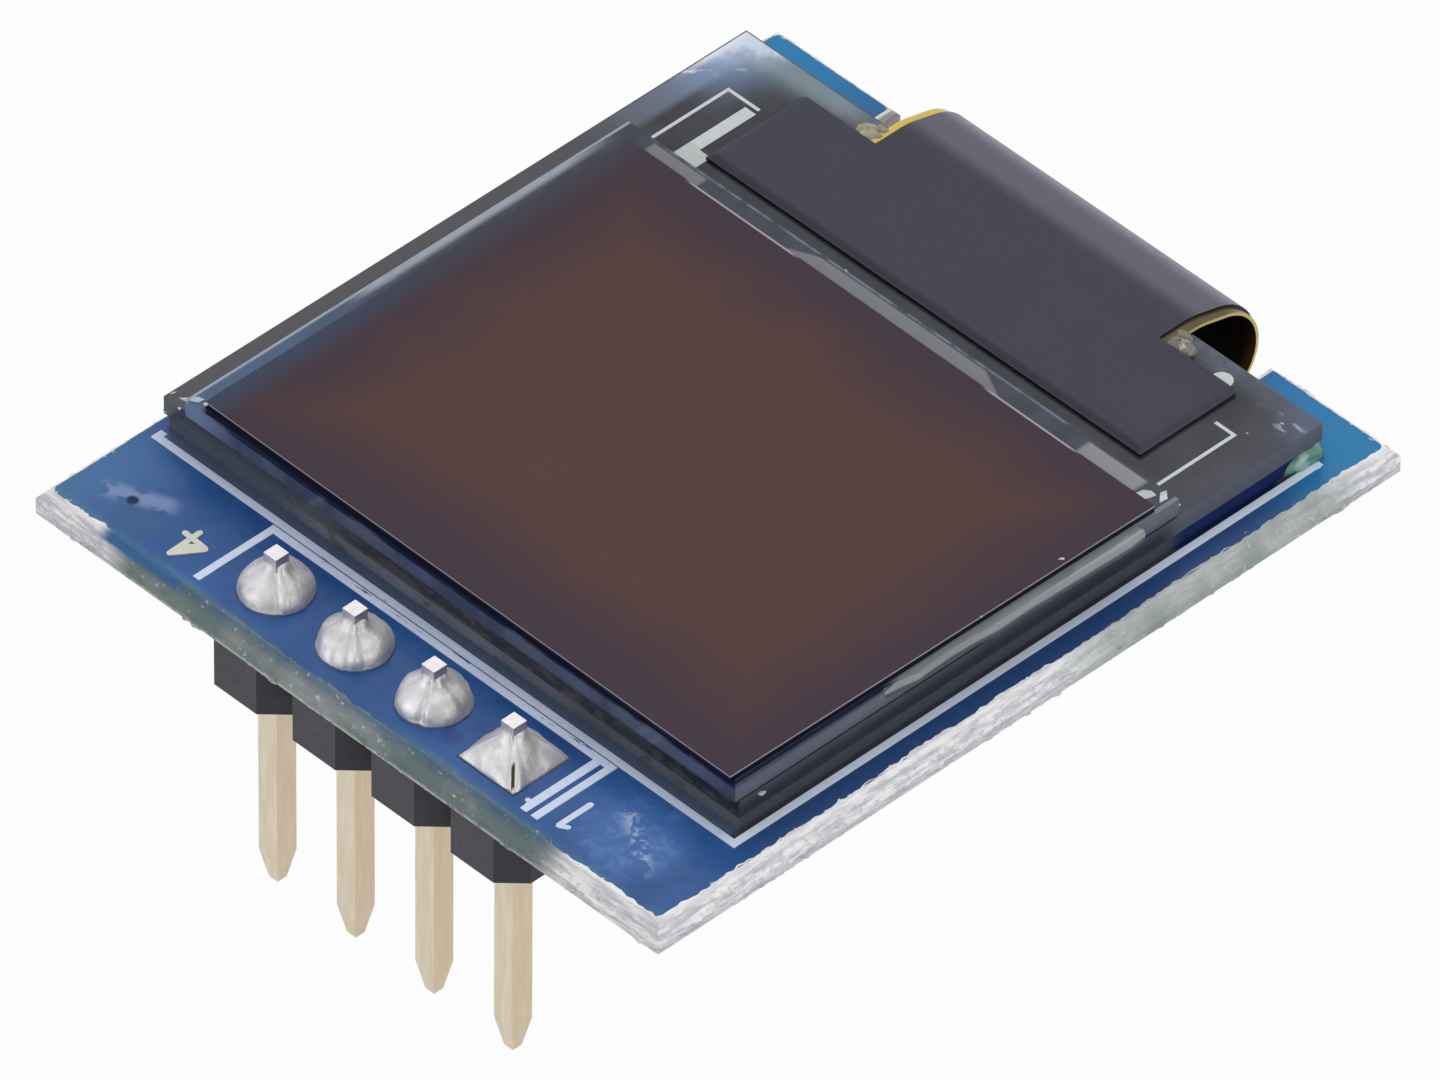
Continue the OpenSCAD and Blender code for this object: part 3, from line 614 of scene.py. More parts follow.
snapped = Finish("snapped_fibreglass", Roughness=0.7, Specular_IOR_Level=0.3)
x, y, z = snapped.axes
lengths = snapped.cloud(1.0, 6.0, 0.7, snapped.stretched(0.9, 0.9, 10.0))
broad, fine = snapped.cloud(0.35), snapped.cloud(6.0, 4.0)
lower = z.ramp(MIDDLE + 0.12, MIDDLE - 0.05)
middle_front = x.within(-7.2, 6.5, 0.6) * y.ramp(0.0, -0.9)
far_right = y.within(11.5, 19.5, 1.2) * x.ramp(9.0, 9.6)
masked = x.within(-7.9, -5.4, 0.25) * y.ramp(-0.9, -1.2)
snapped.coat(
    lengths.ramp(0.42, 0.62), "FFFFFF", "E2E2E8",
    (lower * lengths.ramp(0.46, 0.6) * 0.5, "B4B4BE"),
    (z.within(MIDDLE - 0.1, TOP - 0.1, 0.08) * lengths.ramp(0.4, 0.6) * 0.5, "B0B0BC"),
    (z.within(MIDDLE, TOP - 0.14, 0.05) * fine.ramp(0.5, 0.7) * 0.5, "9A9AA4"),
    (middle_front * 0.9, "8A9292"), (middle_front * broad.ramp(0.4, 0.55) * 0.8, "5F7472"),
    (middle_front * z.ramp(TOP - 0.3, TOP - 0.02) * 0.7, "4A6C84"),
    # A painted highlight on the broken web, below the middle of the front edge
    (middle_front * z.ramp(MIDDLE, MIDDLE - 0.2) * fine.ramp(0.35, 0.5), "D2D6D4"),
    (x.ramp(9.6, 9.9) * lower * 0.5, "B4B0BC"), (far_right * 0.75, "A9B2B0"),
    (far_right * broad.ramp(0.42, 0.58) * 0.6, "82958F"), (fine.ramp(0.6, 0.7) * 0.35, "FFFFFF"),
    (masked * z.ramp(TOP - 0.22, TOP - 0.14), "3F6C9C"), Roughness=0.55 + 0.3 * fine)
snapped.bump(lengths + 0.5 * fine, 0.06).on("board_core")
slivers = fibres.grow(rim_mesh.copy(), snapped, Density=1.6e7, Length=0.1 * MM,
                      Girth=0.02 * MM, Disorder=0.15, Seed=4)
piece("board_rim", joined(rim_mesh, slivers), snapped, "fibreglass")


# %% [markdown]
# White print lies on the mask as a thin layer of ink, a little worn. The outlines
# are in the CAD. The two pin numbers are strokes, to be read from behind the header.

# %% Print and pin numbers
ink = Finish("white_print", Roughness=0.6, Specular_IOR_Level=0.2)
worn = ink.cloud(5.0, 5.0, 0.7)
slots = ink.cloud(1.0, 4.0, 0.6, ink.stretched(1.4, 9.0, 1.0))
double = ink.box(-5.35, 1.32, 5.4, 1.5) * slots.ramp(0.6, 0.66)
ink.coat(worn.ramp(0.5, 0.8) * 0.5, "DEE9FF", "B4CEFE", (double, "3B5C94"),
         # Painted light: the print is lighter beyond x 9.1, clear of the panel's shade
         (ink.axes[0].ramp(9.0, 9.1) * 0.4, "E9F4FF")).bump(worn, 0.012).on("board_print")


def stroke(x0, y0, x1, y1, width):
    """The outline of a straight stroke with clipped ends."""
    run = Vector((x1 - x0, y1 - y0)).normalized() * width / 2
    side = Vector((-run.y, run.x))
    return [(x + s * side.x + t * run.x, y + s * side.y + t * run.y)
            for x, y, e in ((x0, y0, 1), (x1, y1, -1))
            for s, t in ((e, 0), (0.5 * e, -0.8 * e), (-0.5 * e, -0.8 * e), (-e, 0))]


def strokes(height, *lines):
    return plates(*[(stroke(*line), TOP, TOP + height + 0.001 * k)
                    for k, line in enumerate(lines)])


one = strokes(0.02, (6.1, 0.15, 6.1, -0.82, 0.15), (6.1, -0.84, 6.3, -0.72, 0.13),
              (5.03, -0.75, 5.05, -0.74, 0.13), (5.12, -0.86, 5.12, 1.34, 0.08))
piece("pin_number_one", one, ink, "white_print")
piece("line_end", strokes(0.024, (9.17, 19.5, 9.19, 19.66, 0.22)), ink, "white_print")
tin_print = Finish("tinned_number", Roughness=0.45, Metallic=0.3)
tin_print.coat(4.0, "DDDFCF", "BFC4B4").bump(5.0, 0.02)
four = strokes(0.03, (-6.56, -0.2, -5.86, -0.24, 0.15), (-6.33, 0.05, -6.3, -0.92, 0.15),
               (-6.28, -0.88, -5.84, -0.26, 0.16), (-6.28, -0.6, -6.02, -0.34, 0.2))
piece("pin_number_four", four, tin_print, "copper_plated")


# %% [markdown]
# ## The header
# Its block is matt black moulding, its pins are gilt, and only their upper ends
# carry tin, because they were soldered there.

# %% Moulding and pins
black = Finish("black_moulding", Roughness=0.55, Specular_IOR_Level=0.3)
right = black.sides()[2]
grit, faint = black.cloud(9.0, 4.0), black.cloud(0.8, 2.0)
# Painted shade: faces that look right are darker
black.coat(grit, "47464E", "3C3B42", (right * 0.8, "2C2B32"),
           (faint.ramp(0.5, 0.7) * 0.3, "4A484E"), Roughness=0.45 + 0.2 * grit)
black.bump(grit, 0.012).on("header_block", "regulator_body")

gold = Finish("pale_gold", Metallic=1.0, Roughness=0.4)
right = gold.sides()[2]
drawn = gold.cloud(1.2, 5.0, 0.6, gold.stretched(6.0, 6.0, 0.5))
tinned = gold.axes[2].ramp(TOP + 0.1, TOP + 0.25)
# Painted shade: faces that look right are darker, on the gilt and on the tin
gold.coat(drawn.ramp(0.3, 0.7), "DDD1BE", "D0C4AC", (right * 0.6, "C9B394"),
          (gold.cloud(0.9).ramp(0.55, 0.75) * 0.25, "E2D8C0"), (tinned, "D4CFD2"),
          (tinned * right, "B7B2B5"), Roughness=0.32 + 0.18 * drawn)
gold.bump(drawn, 0.01).on(*[f"pin_{k}" for k in range(1, 5)])


# %% [markdown]
# ## Solder joints
# Melted solder pulls itself up a pin in a hollow curve and bulges over its pad.
# No two joints freeze alike: each has flats, a crease where the iron left it and
# a lumpy skin. So each is a bell whose radius is changed by noise, by flats and by
# one crease. Pin 1 has a square pad, where the bell grows corners at its foot.

# %% Joint shells
# Radius and height of each ring, on a round and on a square pad
ROUND = [(0.9, -0.01), (0.89, 0.04), (0.87, 0.12), (0.84, 0.24), (0.77, 0.35), (0.66, 0.45),
         (0.53, 0.54), (0.41, 0.62), (0.335, 0.7), (0.29, 0.78), (0.262, 0.85), (0.12, 0.88)]
SQUARE = [(0.88, -0.01), (0.87, 0.04), (0.83, 0.12), (0.76, 0.22), (0.68, 0.32), (0.59, 0.41),
          (0.5, 0.5), (0.42, 0.58), (0.35, 0.66), (0.3, 0.75), (0.265, 0.85), (0.12, 0.88)]
TURNS = 96


def bell(k, profile, flats, crease, seed):
    middle = (low(f"solder_{k}") + high(f"solder_{k}")) / 2
    points = []
    for j, (radius, height) in enumerate(profile):
        foot = 1 - min(1, max(0, height / 0.7))
        for n in range(TURNS):
            angle = 2 * math.pi * n / TURNS
            corner = 1 / max(abs(math.cos(angle)), abs(math.sin(angle))) - 1
            reach = radius * (1 + (corner * foot ** 0.5 if profile is SQUARE else 0))
            way = Vector((math.cos(angle), math.sin(angle), 0))
            spot = way * radius + Vector((0, 0, height * 1.3))
            lump = noise.noise(spot * 1.7 + Vector((seed, 0, 0))) * 0.07
            lump += noise.noise(spot * 4.5 + Vector((0, seed, 0))) * 0.02
            flat = 0.05 * abs(math.sin(flats * angle / 2 + seed)) - 0.035
            off = (angle - crease + math.pi) % (2 * math.pi) - math.pi
            groove = 0.05 * math.exp(-((off - 0.2) / 0.12) ** 2)
            groove -= 0.06 * math.exp(-(off / 0.07) ** 2)
            if profile is SQUARE and height < 0.35:
                groove *= 2.2
            strength = min(1, radius / 0.5) * (1 if j else 0.4)
            reach += (lump + flat + groove) * strength * min(1, (j + 0.4) / 2)
            if profile is not SQUARE:
                reach = max(min(reach, 0.9), 0.89 if height < 0.02 else 0.1)
            points.append((middle.x + way.x * reach, middle.y + way.y * reach, TOP + height))
    return lofted(points, TURNS, smooth=True)


# %% Solder
solder = Finish("bright_solder", Metallic=0.55, Roughness=0.4)
x, y, z = solder.axes
right = solder.sides()[2]
skin, cloudy = solder.cloud(3.0, 5.0), solder.cloud(1.3)
first = (low("solder_1") + high("solder_1")) / 2
east, north = x - first.x, y - first.y
# A dark slot in the crease of pin 1's joint, painted as shade
slot = (east + north).size().ramp(0.07, 0.045) * (east - north).within(0.95, 1.6, 0.08)
# Painted shade: darker on faces that look right and at the foot of each joint
solder.coat(cloudy.ramp(0.35, 0.65), "ECEBEF", "D6D5D6", (right * 0.5, "ADABA6"),
            (skin.ramp(0.58, 0.68) * 0.45, "BEBCBA"),
            (z.ramp(TOP + 0.06, TOP) * 0.5, "9A958A"), (slot, "3A2F2A"),
            Roughness=0.3 + 0.25 * skin)
solder.bump(skin, 0.035).on("flex_solder", "part_solder")
# Pin, profile, number of flats, angle of the crease, and a seed
JOINTS = [(1, SQUARE, 4, -0.84, 5.0), (2, ROUND, 5, -1.15, 9.0), (3, ROUND, 6, -0.95, 14.0),
          (4, ROUND, 5, -0.7, 21.0)]
for k, profile, flats, crease, seed in JOINTS:
    piece(f"solder_bell_{k}", bell(k, profile, flats, crease, seed), solder, "solder",
          f"solder_{k}")

tin = Finish("tinned_copper", Metallic=0.9, Roughness=0.3)
dull = tin.cloud(5.0, 4.0)
tin.coat(dull, "D6D2C8", "B0AB9E", Roughness=0.25 + 0.2 * dull).bump(dull, 0.01)
tin.on(*[f"plated_hole_{k}" for k in range(1, 5)], "underside_pads", "regulator_leads")


# %% [markdown]
# ## The panel
# Two sheets of glass are glued face to face over the light-emitting layer, and a
# polarising film covers the upper one, so both look nearly black. What tells them
# from plastic is their rim: bands of reflected sky, pale ground edges and chips.
# Glass this thin shows the same bands from all sides, so they are painted by place
# and by the way a face looks: painted reflections and highlights on the rims, and
# painted shade below the film's edge and low on the sides. The gloss is left to
# the shader.

# %% Upper glass
cover = Finish("cover_glass", Roughness=0.12, Specular_IOR_Level=0.25)
x, y, z = cover.axes
up, front, right, left, rear = cover.sides()
wave, soft = cover.cloud(0.7, 3.0, 0.6, cover.stretched(1.0, 1.0, 0.3)), cover.cloud(1.5)
edge = COVER1.y - 0.1
lean = x + (y - edge) * -2.2
lean_back = x + (y - edge) * 2.0
left_edge_highlight = (up * x.ramp(-8.28, -8.5)
             * (y.ramp(6.4, 7.6) * y.ramp(15.2, 13.0)).most(x.ramp(-8.5, -8.56)))
marks = up * y.within(edge - 0.6, edge, 0.025) * (
    x.within(-7.65, -5.95, 0.06).most(
        lean.ramp(-2.4, -2.2) * lean_back.ramp(3.1, 2.9)).most(x.within(6.3, 8.1, 0.08)))
beside = up * x.ramp(POLAR1.x - 0.06, POLAR1.x - 0.02)
film_edge_shade = z.ramp(3.86, 3.92) * (0.4 + wave.ramp(0.3, 0.6))
cover.coat(
    soft.ramp(0.4, 0.6), "3C404A", "434855",
    # A painted bluish sheen on the left margin, towards the front
    (up * x.ramp(-7.9, -8.2) * y.ramp(9.0, 4.0) * 0.8, "46658A"),
    # A painted highlight along the left edge
    (left_edge_highlight * 0.85, "AEB6C4"), (left_edge_highlight * soft.ramp(0.5, 0.65) * 0.5, "8B98AB"),
    # A painted reflection along the back edge
    (up * y.ramp(edge + 0.02, edge + 0.06) * soft.ramp(0.35, 0.55)
     * x.within(-7.5, 5.6, 0.4), "727C90"),
    (marks * 0.95, "808186"), (marks * x.ramp(5.0, 6.5) * 0.6, "9C9CA0"),
    (up * y.ramp(1.92, 1.84) * x.ramp(-8.2, -7.8), "1C2036"),
    # Ground glass beside the film on the right, and painted shade beside it towards the front
    (beside * y.ramp(6.2, 6.9) * 0.9, "84898C"), (beside * y.ramp(6.9, 6.2), "1E2440"),
    # The front side: a painted reflection, lighter to the left, with painted shade at its top
    # under the film's edge
    (front * z.ramp(3.45, 3.6), "586076"), (front * wave.ramp(0.45, 0.62), "454D64"),
    (front * film_edge_shade, "1C2036"), (front * x.ramp(-6.8, -8.3), "7A88AC"),
    # The right side: painted shade low down and at its top under the film's edge
    (right, "545A6A"), (right * y.ramp(7.5, 2.5) * z.ramp(3.5, 3.8), "434D68"),
    (right * z.ramp(3.75, 3.5) * 0.5, "3A3E48"),
    (right * z.ramp(3.88, 3.94) * y.ramp(7.0, 6.0), "1E2440"),
    # A painted highlight along the top of the back side
    (left, "5B5A60"), (rear, "596070"), (rear * z.ramp(3.9, 3.95) * 0.6, "8C94A4"),
    Roughness=0.08 + 0.15 * soft)
cover.bump(soft, 0.004).on("upper_glass")

# %% Lower glass
glass = Finish("ledge_glass", Roughness=0.15, Specular_IOR_Level=0.25)
x, y, z = glass.axes
up, front, right, left, rear = glass.sides()
soft, cloudy = glass.cloud(1.2), glass.cloud(0.9, 5.0, 0.6)
chipped = glass.cloud(1.6, 4.0, 0.65, glass.stretched(1.0, 1.0, 2.5))
streaky = glass.cloud(3.0, 3.0, 0.5, glass.stretched(0.5, 1.6, 1.0))
corner_left = up * x.ramp(-7.3, -9.2) * y.ramp(17.0, 19.3)
corner_back = up * x.ramp(-4.8, -7.5) * y.ramp(18.7, 19.8)
rim_left, rim_back = up * x.ramp(-8.6, -8.9), up * y.ramp(19.2, 19.75)
right_chips = glass.spot(8.55, 19.45, 0.2, 0.35) * streaky.ramp(0.56, 0.62)
corner_glint = x * -0.55 + y * 0.45 + cloudy * 1.3
corner_glint_line = corner_glint.within(13.72, 13.8, 0.06) * x.ramp(-8.3, -8.9) * soft.ramp(0.4, 0.55)
glass.coat(
    soft.ramp(0.4, 0.6), "33353C", "3A3C44",
    # Painted light: the back rim is lighter, most towards the left
    (up * x.ramp(7.0, 8.8) * 0.5, "50525E"), (rim_back * 0.6, "5E6274"),
    (rim_back * soft.ramp(0.45, 0.6) * 0.4, "7C8296"),
    (rim_back * x.ramp(-4.5, -6.5) * 0.8, "8E97A2"),
    (rim_left * 0.7, "5D5C62"), (rim_left * y.ramp(14.5, 18.0) * 0.7, "7786A0"),
    # A painted highlight at the back-left corner: a patch, streaks and a line along the left edge
    (corner_left * 0.85, "8EA9CE"), (corner_back * 0.8, "7C9098"),
    (corner_glint.ramp(13.75, 14.7) * up * 0.75, "C2D0EA"), (corner_glint.ramp(14.2, 14.5) * up * 0.8, "E2EAF8"),
    (corner_glint_line * up, "E2EAF8"),
    (up * x.ramp(-9.2, -9.4) * y.ramp(17.5, 19.0), "E8EEF8"),
    (up * x.ramp(-9.4, -9.43), "4C4B52"), (up * y.ramp(19.92, 19.95), "5A606C"),
    (glass.spot(8.9, 19.8, 0.2, 1.0) * up * 0.8, "5A647C"), (right_chips * 0.8, "A6ABBC"),
    (up * y.ramp(16.0, 15.6) * x.within(-7.0, 6.0, 0.5) * 0.9, "465068"),
    # The front side: painted shade under the cover's overhang, with chips
    (front, "24252C"), (front * chipped.ramp(0.5, 0.58), "443C3C"),
    (front * x.ramp(-2.5, -5.0) * 0.8, "50585E"),
    (front * x.ramp(-3.5, -5.0) * chipped.ramp(0.52, 0.6), "4A4243"),
    # A painted highlight along the front side's lower edge
    (front * z.ramp(3.06, 3.0) * x.within(-6.2, 5.5, 0.8)
     * cloudy.ramp(0.45, 0.6) * 0.6, "5C554E"),
    # The right side: painted shade, lighter near its top and where the ledge is bare
    (right, "30323A"), (right * z.ramp(3.1, 3.42), "40444F"),
    (right * y.ramp(14.8, 15.6), "5C5E6A"),
    (left, "6A6468"), (left * chipped.ramp(0.5, 0.6), "8C868C"),
    # The back side, with a painted highlight towards the back-left corner
    (rear, "596273"), (rear * chipped.ramp(0.45, 0.6), "8793A8"),
    (rear * x.ramp(-6.8, -8.5) * 0.8, "B9C9DC"), Roughness=0.12 + 0.2 * soft)
glass.bump(soft + 0.5 * chipped, 0.006).on("lower_glass")

# %% [markdown]
# The polarising film is brown in the middle, over the light-emitting layer, and
# turns purple towards its edges, with a painted bluish sheen on the left. Its cut
# edge has a painted highlight, a thin pale line along its top, and its sides are
# painted dark as shade. A painted highlight also runs along its back edge.

# %% Polariser
# Its back edge runs askew, by this much to a millimetre
SKEW = 0.00785
polar = Finish("polariser_film", Roughness=0.35, Specular_IOR_Level=0.1)
x, y, z = polar.axes
up, rear = polar.sides()[::4]
haze, fine = polar.cloud(0.28), polar.cloud(1.6)
from_left = x - POLAR0.x
edge = from_left.least((POLAR1.x - x) * 1.2)
edge = edge.least(y - POLAR0.y).least((POLAR1.y - y) * 1.1)
middle = (edge + (haze - 0.5) * 2.2 + (fine - 0.5) * 0.4).ramp(0.6, 3.2)
rosy = (edge + (haze - 0.5) * 1.5).within(1.0, 2.4, 0.8)
back_edge_highlight = (up * (y + from_left * SKEW).ramp(POLAR1.y - 0.06, POLAR1.y - 0.045)
             * x.within(-6.0, -2.6, 0.2).most(x.within(3.6, 6.4, 0.2)))
polar.coat(
    middle, "423540", "563E39", (rosy * 0.4, "52353C"),
    (haze.ramp(0.55, 0.7) * middle * 0.3, "5A4334"),
    # A painted bluish sheen on the left
    (from_left.ramp(0.9, 0.0) * y.ramp(13.0, 5.0) * 0.7, "3A4E68"),
    (from_left.ramp(0.9, 0.1) * y.ramp(6.0, 12.0) * 0.6, "434A58"),
    # A painted highlight along the back edge; the sides painted dark as shade, with a painted
    # highlight line along their top, lighter at the back
    (back_edge_highlight, "A8A2B0"), (1 - up, "16182C"),
    ((1 - up) * z.ramp(POLAR1.z - 0.05, POLAR1.z - 0.035), "A39AA8"),
    ((1 - up) * rear * 0.8, "5A5A66"), Roughness=0.3 + 0.1 * fine)
polar.bump(polar.cloud(1.5, 2.0), 0.006).on("polariser")

# %% Inside and under the glass
lit = Finish("pixel_stack", Roughness=0.3)
lit.coat(lit.cells(6.0), "2A2628", "1E1B1D").on("pixel_layer")
Finish("seal_resin", Roughness=0.4).coat(3.0, "2B2B33", "202028").on("panel_seal")
Finish("silicon", Roughness=0.2, Metallic=0.3).coat(2.0, "6D7078", "54575F").on("driver_chip")

foam = Finish("black_foam", Roughness=0.9, Specular_IOR_Level=0.1)
x, y, z = foam.axes
front, right = foam.sides()[1:3]
cell = foam.cells(7.0)
# Painted light: the faces that look front and right are lighter than the black top
foam.coat(cell, "1A1C20", "26282E", (right, "484D58"), (front, "757987"),
          (front * x.ramp(1.0, 4.5) * 0.6, "50545C"),
          # Painted shade: the front just under the glass, and the right side below the bare ledge
          (front * z.ramp(GLASS0.z - 0.14, GLASS0.z - 0.06), "33353D"),
          (right * y.ramp(15.0, 15.8), "1B2C5A"),
          (front * x.ramp(-4.0, -6.0) * 0.8, "4E5866"),
          (foam.cloud(1.4, 4.0).ramp(0.6, 0.68) * front * 0.5, "4A4540"))
foam.bump(cell, 0.03).on("mounting_pad")

trace = Finish("bright_trace", Roughness=0.4, Metallic=0.2)
trace.coat(4.0, "D3D6DA", "C0C4C6", (trace.box(-7.7, 14.0, -6.0, 16.4, 0.05) * 0.6, "B2B8B4"))
trace.bump(6.0, 0.004).on("ledge_traces")


# %% [markdown]
# Cutting the glass leaves slivers and chips. On the right a long sliver of the
# upper glass stands out beyond the film, ground at a slant, and the corners have
# lost a few flakes: small plates, each with its own outline.

# %% Sliver and chips
ground = Finish("ground_glass", Roughness=0.35, Specular_IOR_Level=0.4)
x, y, z = ground.axes
up = ground.sides()[0]
frost = ground.cloud(1.2, 4.0, 0.6, ground.stretched(2.0, 0.6, 2.0))
ground.coat(frost.ramp(0.35, 0.65), "686D70", "7A8082", ((1 - up) * 0.9, "8E9698"),
            ((1 - up) * z.ramp(3.86, 3.76), "3D434E"),
            (x.ramp(9.12, 9.18) * up * 0.7, "A9B0B0")).bump(frost, 0.02)
# Places along the sliver, and how far out its edge reaches there
OUTER = [(6.3, 9.02), (6.8, 9.08), (7.25, 9.17), (7.6, 9.14), (8.3, 9.12), (9.0, 9.15),
         (9.6, 9.22), (10.6, 9.21), (12.0, 9.25), (13.0, 9.28), (13.7, 9.3), (14.15, 9.26)]
CREST, INNER = COVER1.z + 0.004, 9.0
points = []
for y, x in OUTER:
    points += [(INNER, y, CREST), (x - 0.05, y, CREST), (x, y, COVER1.z - 0.09),
               (x - 0.02, y, COVER1.z - 0.3), (INNER, y, COVER1.z - 0.32)]
piece("glass_sliver", lofted(points, 5), ground, "panel_glass")

flake = Finish("glass_flakes", Roughness=0.3).coat(3.0, "E4E7EA", "98A0AA").bump(6.0, 0.02)
# Where each flake lies, its size, its turn and how far it leans
FLAKES = [(-8.42, 1.9, COVER1.z, 0.3, 0.9, 0.1), (-8.6, 1.78, COVER1.z - 0.02, 0.2, 0.5, 0.3),
          (-8.05, 1.85, POLAR1.z - 0.02, 0.12, 0.2, 0.3), (-9.38, 2.1, GLASS1.z, 0.12, 1.2, 0.2),
          (-9.4, 1.9, GLASS1.z - 0.42, 0.14, 0.4, 0.6), (-8.9, 1.84, GLASS1.z, 0.1, 0.0, 0.3),
          (8.78, 12.03, POLAR1.z, 0.13, 1.0, 0.25), (7.7, 15.5, COVER1.z - 0.2, 0.12, 0.4, 0.8),
          (8.45, 15.03, COVER1.z, 0.42, 0.8, 0.1), (8.7, 15.27, COVER1.z, 0.3, 2.0, 0.2),
          (9.05, 2.5, GLASS1.z - 0.12, 0.16, 1.3, 0.9),
          (8.95, 15.42, COVER1.z - 0.2, 0.14, 0.9, 0.7), (8.4, 19.3, GLASS1.z, 0.07, 0.3, 0.2),
          (-1.6, 15.46, COVER1.z - 0.05, 0.1, 0.2, 0.8), (6.98, 18.95, GLASS1.z, 0.08, 0.3, 0.2),
          (8.1, 18.5, GLASS1.z, 0.06, 0.3, 0.2), (8.9, 9.4, POLAR1.z, 0.05, 0.6, 0.3)]
random.seed(12)
chips = []
for x, y, z, size, turn, lean in FLAKES:
    ring = []
    for n in range(6):
        angle = turn + n * math.pi / 3
        reach = size * (0.28 + 0.32 * random.random()) * (1.5 if n % 3 == 0 else 0.8)
        ring.append((x + reach * math.cos(angle), y + reach * math.sin(angle)))
    tops = [z + 0.012 + lean * 0.12 * random.random() * size for _ in ring]
    chips.append((ring, z - 0.02, tops))
piece("glass_flakes", plates(*chips), flake, "panel_glass")


# %% [markdown]
# ## The flexible tail
# Amber film carries the copper, and a dark film covers it except along its sides.
# Both leave the glass, droop a little, loop round the board's back edge and come
# back under it: straights and bends of given radius, one after the other. Geometry
# Nodes sweep a thin rectangle along that line, which is smoother than facets. The
# dark film was laid slightly askew, so its line drifts sideways as it goes.

# %% The tail's line
BOND = low("flex_bond").y
BASE0, BASE1 = high("flex_bond").z, high("flex_film").z
HEAD0, HEAD1 = low("flex_cover"), high("flex_cover")
SKIN0, SKIN1 = high("ledge_resin").z, HEAD1.z
TAIL_X = (HEAD0.x + HEAD1.x) / 2
TAIL_WIDTH, SKIN_WIDTH = 9.6, 9.08
SKIN_DRIFT, HEAD_SAG = (-0.02, 0.08), 0.11
SHOULDER = GLASS1.y - 0.77
# Angles, radii and lengths of the bends, how far the loop hangs, and its landing
DROOP, DROOP_R, REACH = 15, 2.0, 0.6
RISE, RISE_R, LAND = 25, 1.5, 1.8
DROP, LAND_GAP = 0.86, 0.04


def tail_line(start_z, board):
    """Points (y, z, heading) of the film's middle, from the glass to the board's underside."""
    droop, rise = math.radians(DROOP), math.radians(RISE)
    top = start_z - DROOP_R * (1 - math.cos(droop)) - REACH * math.sin(droop)
    loop_r = (top - board + DROP) / (1 + math.cos(droop))
    foot = top - loop_r * (math.cos(droop) + math.cos(rise))
    land = board - LAND_GAP - (BASE1 - BASE0) / 2
    climb = (land - foot - RISE_R * (1 - math.cos(rise))) / math.sin(rise)
    legs = [(0, GLASS1.y - BOND), (DROOP_R, droop), (0, REACH), (loop_r, math.pi + rise - droop),
            (0, climb), (RISE_R, -rise), (0, LAND)]
    y, z, heading = BOND, start_z, 0.0
    line = [(y, z, heading)]
    for radius, leg in legs:
        steps = 6 if radius == 0 else max(2, int(abs(leg) / math.radians(2)))
        for _ in range(steps):
            if radius == 0:
                y += leg / steps * math.cos(heading)
                z -= leg / steps * math.sin(heading)
            else:
                turn = leg / steps
                bend = math.copysign(radius, leg)
                y += bend * (math.sin(heading + turn) - math.sin(heading))
                z += bend * (math.cos(heading + turn) - math.cos(heading))
                heading += turn
            line.append((y, z, heading))
    return line


middle_line = tail_line((BASE0 + BASE1) / 2, FOOT)
backs, heights = [p[0] for p in middle_line], [p[1] for p in middle_line]
LOOP_R = (max(heights) - min(heights)) / 2
LOOP_Y, LOOP_Z = max(backs) - LOOP_R, min(heights) + LOOP_R
print("tail reaches", round(max(backs), 3), "and", round(min(heights), 3))

# %% Sweeping the films
sweep = Rule("swept_film", Width="Float", Thickness="Float")
curve = sweep.node("GeometryNodeMeshToCurve", {}, [sweep.given["Geometry"]])[0]
section = sweep.node("GeometryNodeCurvePrimitiveQuadrilateral", {}, {
    "Width": sweep.given["Width"], "Height": sweep.given["Thickness"]})[0]
sweep.close(sweep.node("GeometryNodeCurveToMesh", {}, {
    "Curve": curve, "Profile Curve": section, "Fill Caps": True})[0])


def film(line, side, thickness, width, finish, drift=(0.0, 0.0)):
    """A swept film whose middle lies side millimetres outside the line."""
    points = [Vector((TAIL_X, y + side * math.sin(heading), z + side * math.cos(heading))) * MM
              for y, z, heading in line]
    span = len(points) - 1
    start = bpy.data.meshes.new("line")
    start.from_pydata(points, [(k, k + 1) for k in range(span)], [])
    swept = sweep.grow(start, finish, Width=width * MM, Thickness=thickness * MM)
    for corner in swept.vertices:
        along = min(range(span + 1), key=lambda k: (corner.co.yz - points[k].yz).length)
        share = min(1.0, 2.0 * along / span)
        corner.co.x += (drift[0] + (drift[1] - drift[0]) * share) * MM
    swept.set_sharp_from_angle(angle=math.radians(30))
    return swept


def head_sheet(x0, x1, foot, top, front, back, sag):
    """The head of a film on the glass, sagging to the glass at its front and sides."""
    near = (0.0, 0.03, 0.07, 0.12, 0.18)
    xs = [x0 + d for d in near] + [x0 + (x1 - x0) * k / 12 for k in range(1, 12)]
    xs += [x1 - d for d in reversed(near)]
    ys = [front + d for d in near] + [front + (back - front) * k / 6 for k in range(1, 7)]

    def drop_at(x, y):
        fall = max(0.0, 1 - min(y - front, x - x0, x1 - x) / near[-1])
        return sag * fall * fall * (3 - 2 * fall)

    points = []
    for y in ys:
        points += [(x, y, foot - drop_at(x, y)) for x in xs]
        points += [(x, y, top - drop_at(x, y)) for x in reversed(xs)]
    return lofted(points, 2 * len(xs))


print("sweep ready")

# %% Film finishes and pieces
amber = Finish("amber_film", Roughness=0.25)
x, y, z = amber.axes
right, left = amber.sides()[2:4]
ny, nz = amber.facing()[1:]
outward = ((y - LOOP_Y) * ny + (z - LOOP_Z) * nz).ramp(-0.1, 0.1)
cast = amber.cloud(2.0)
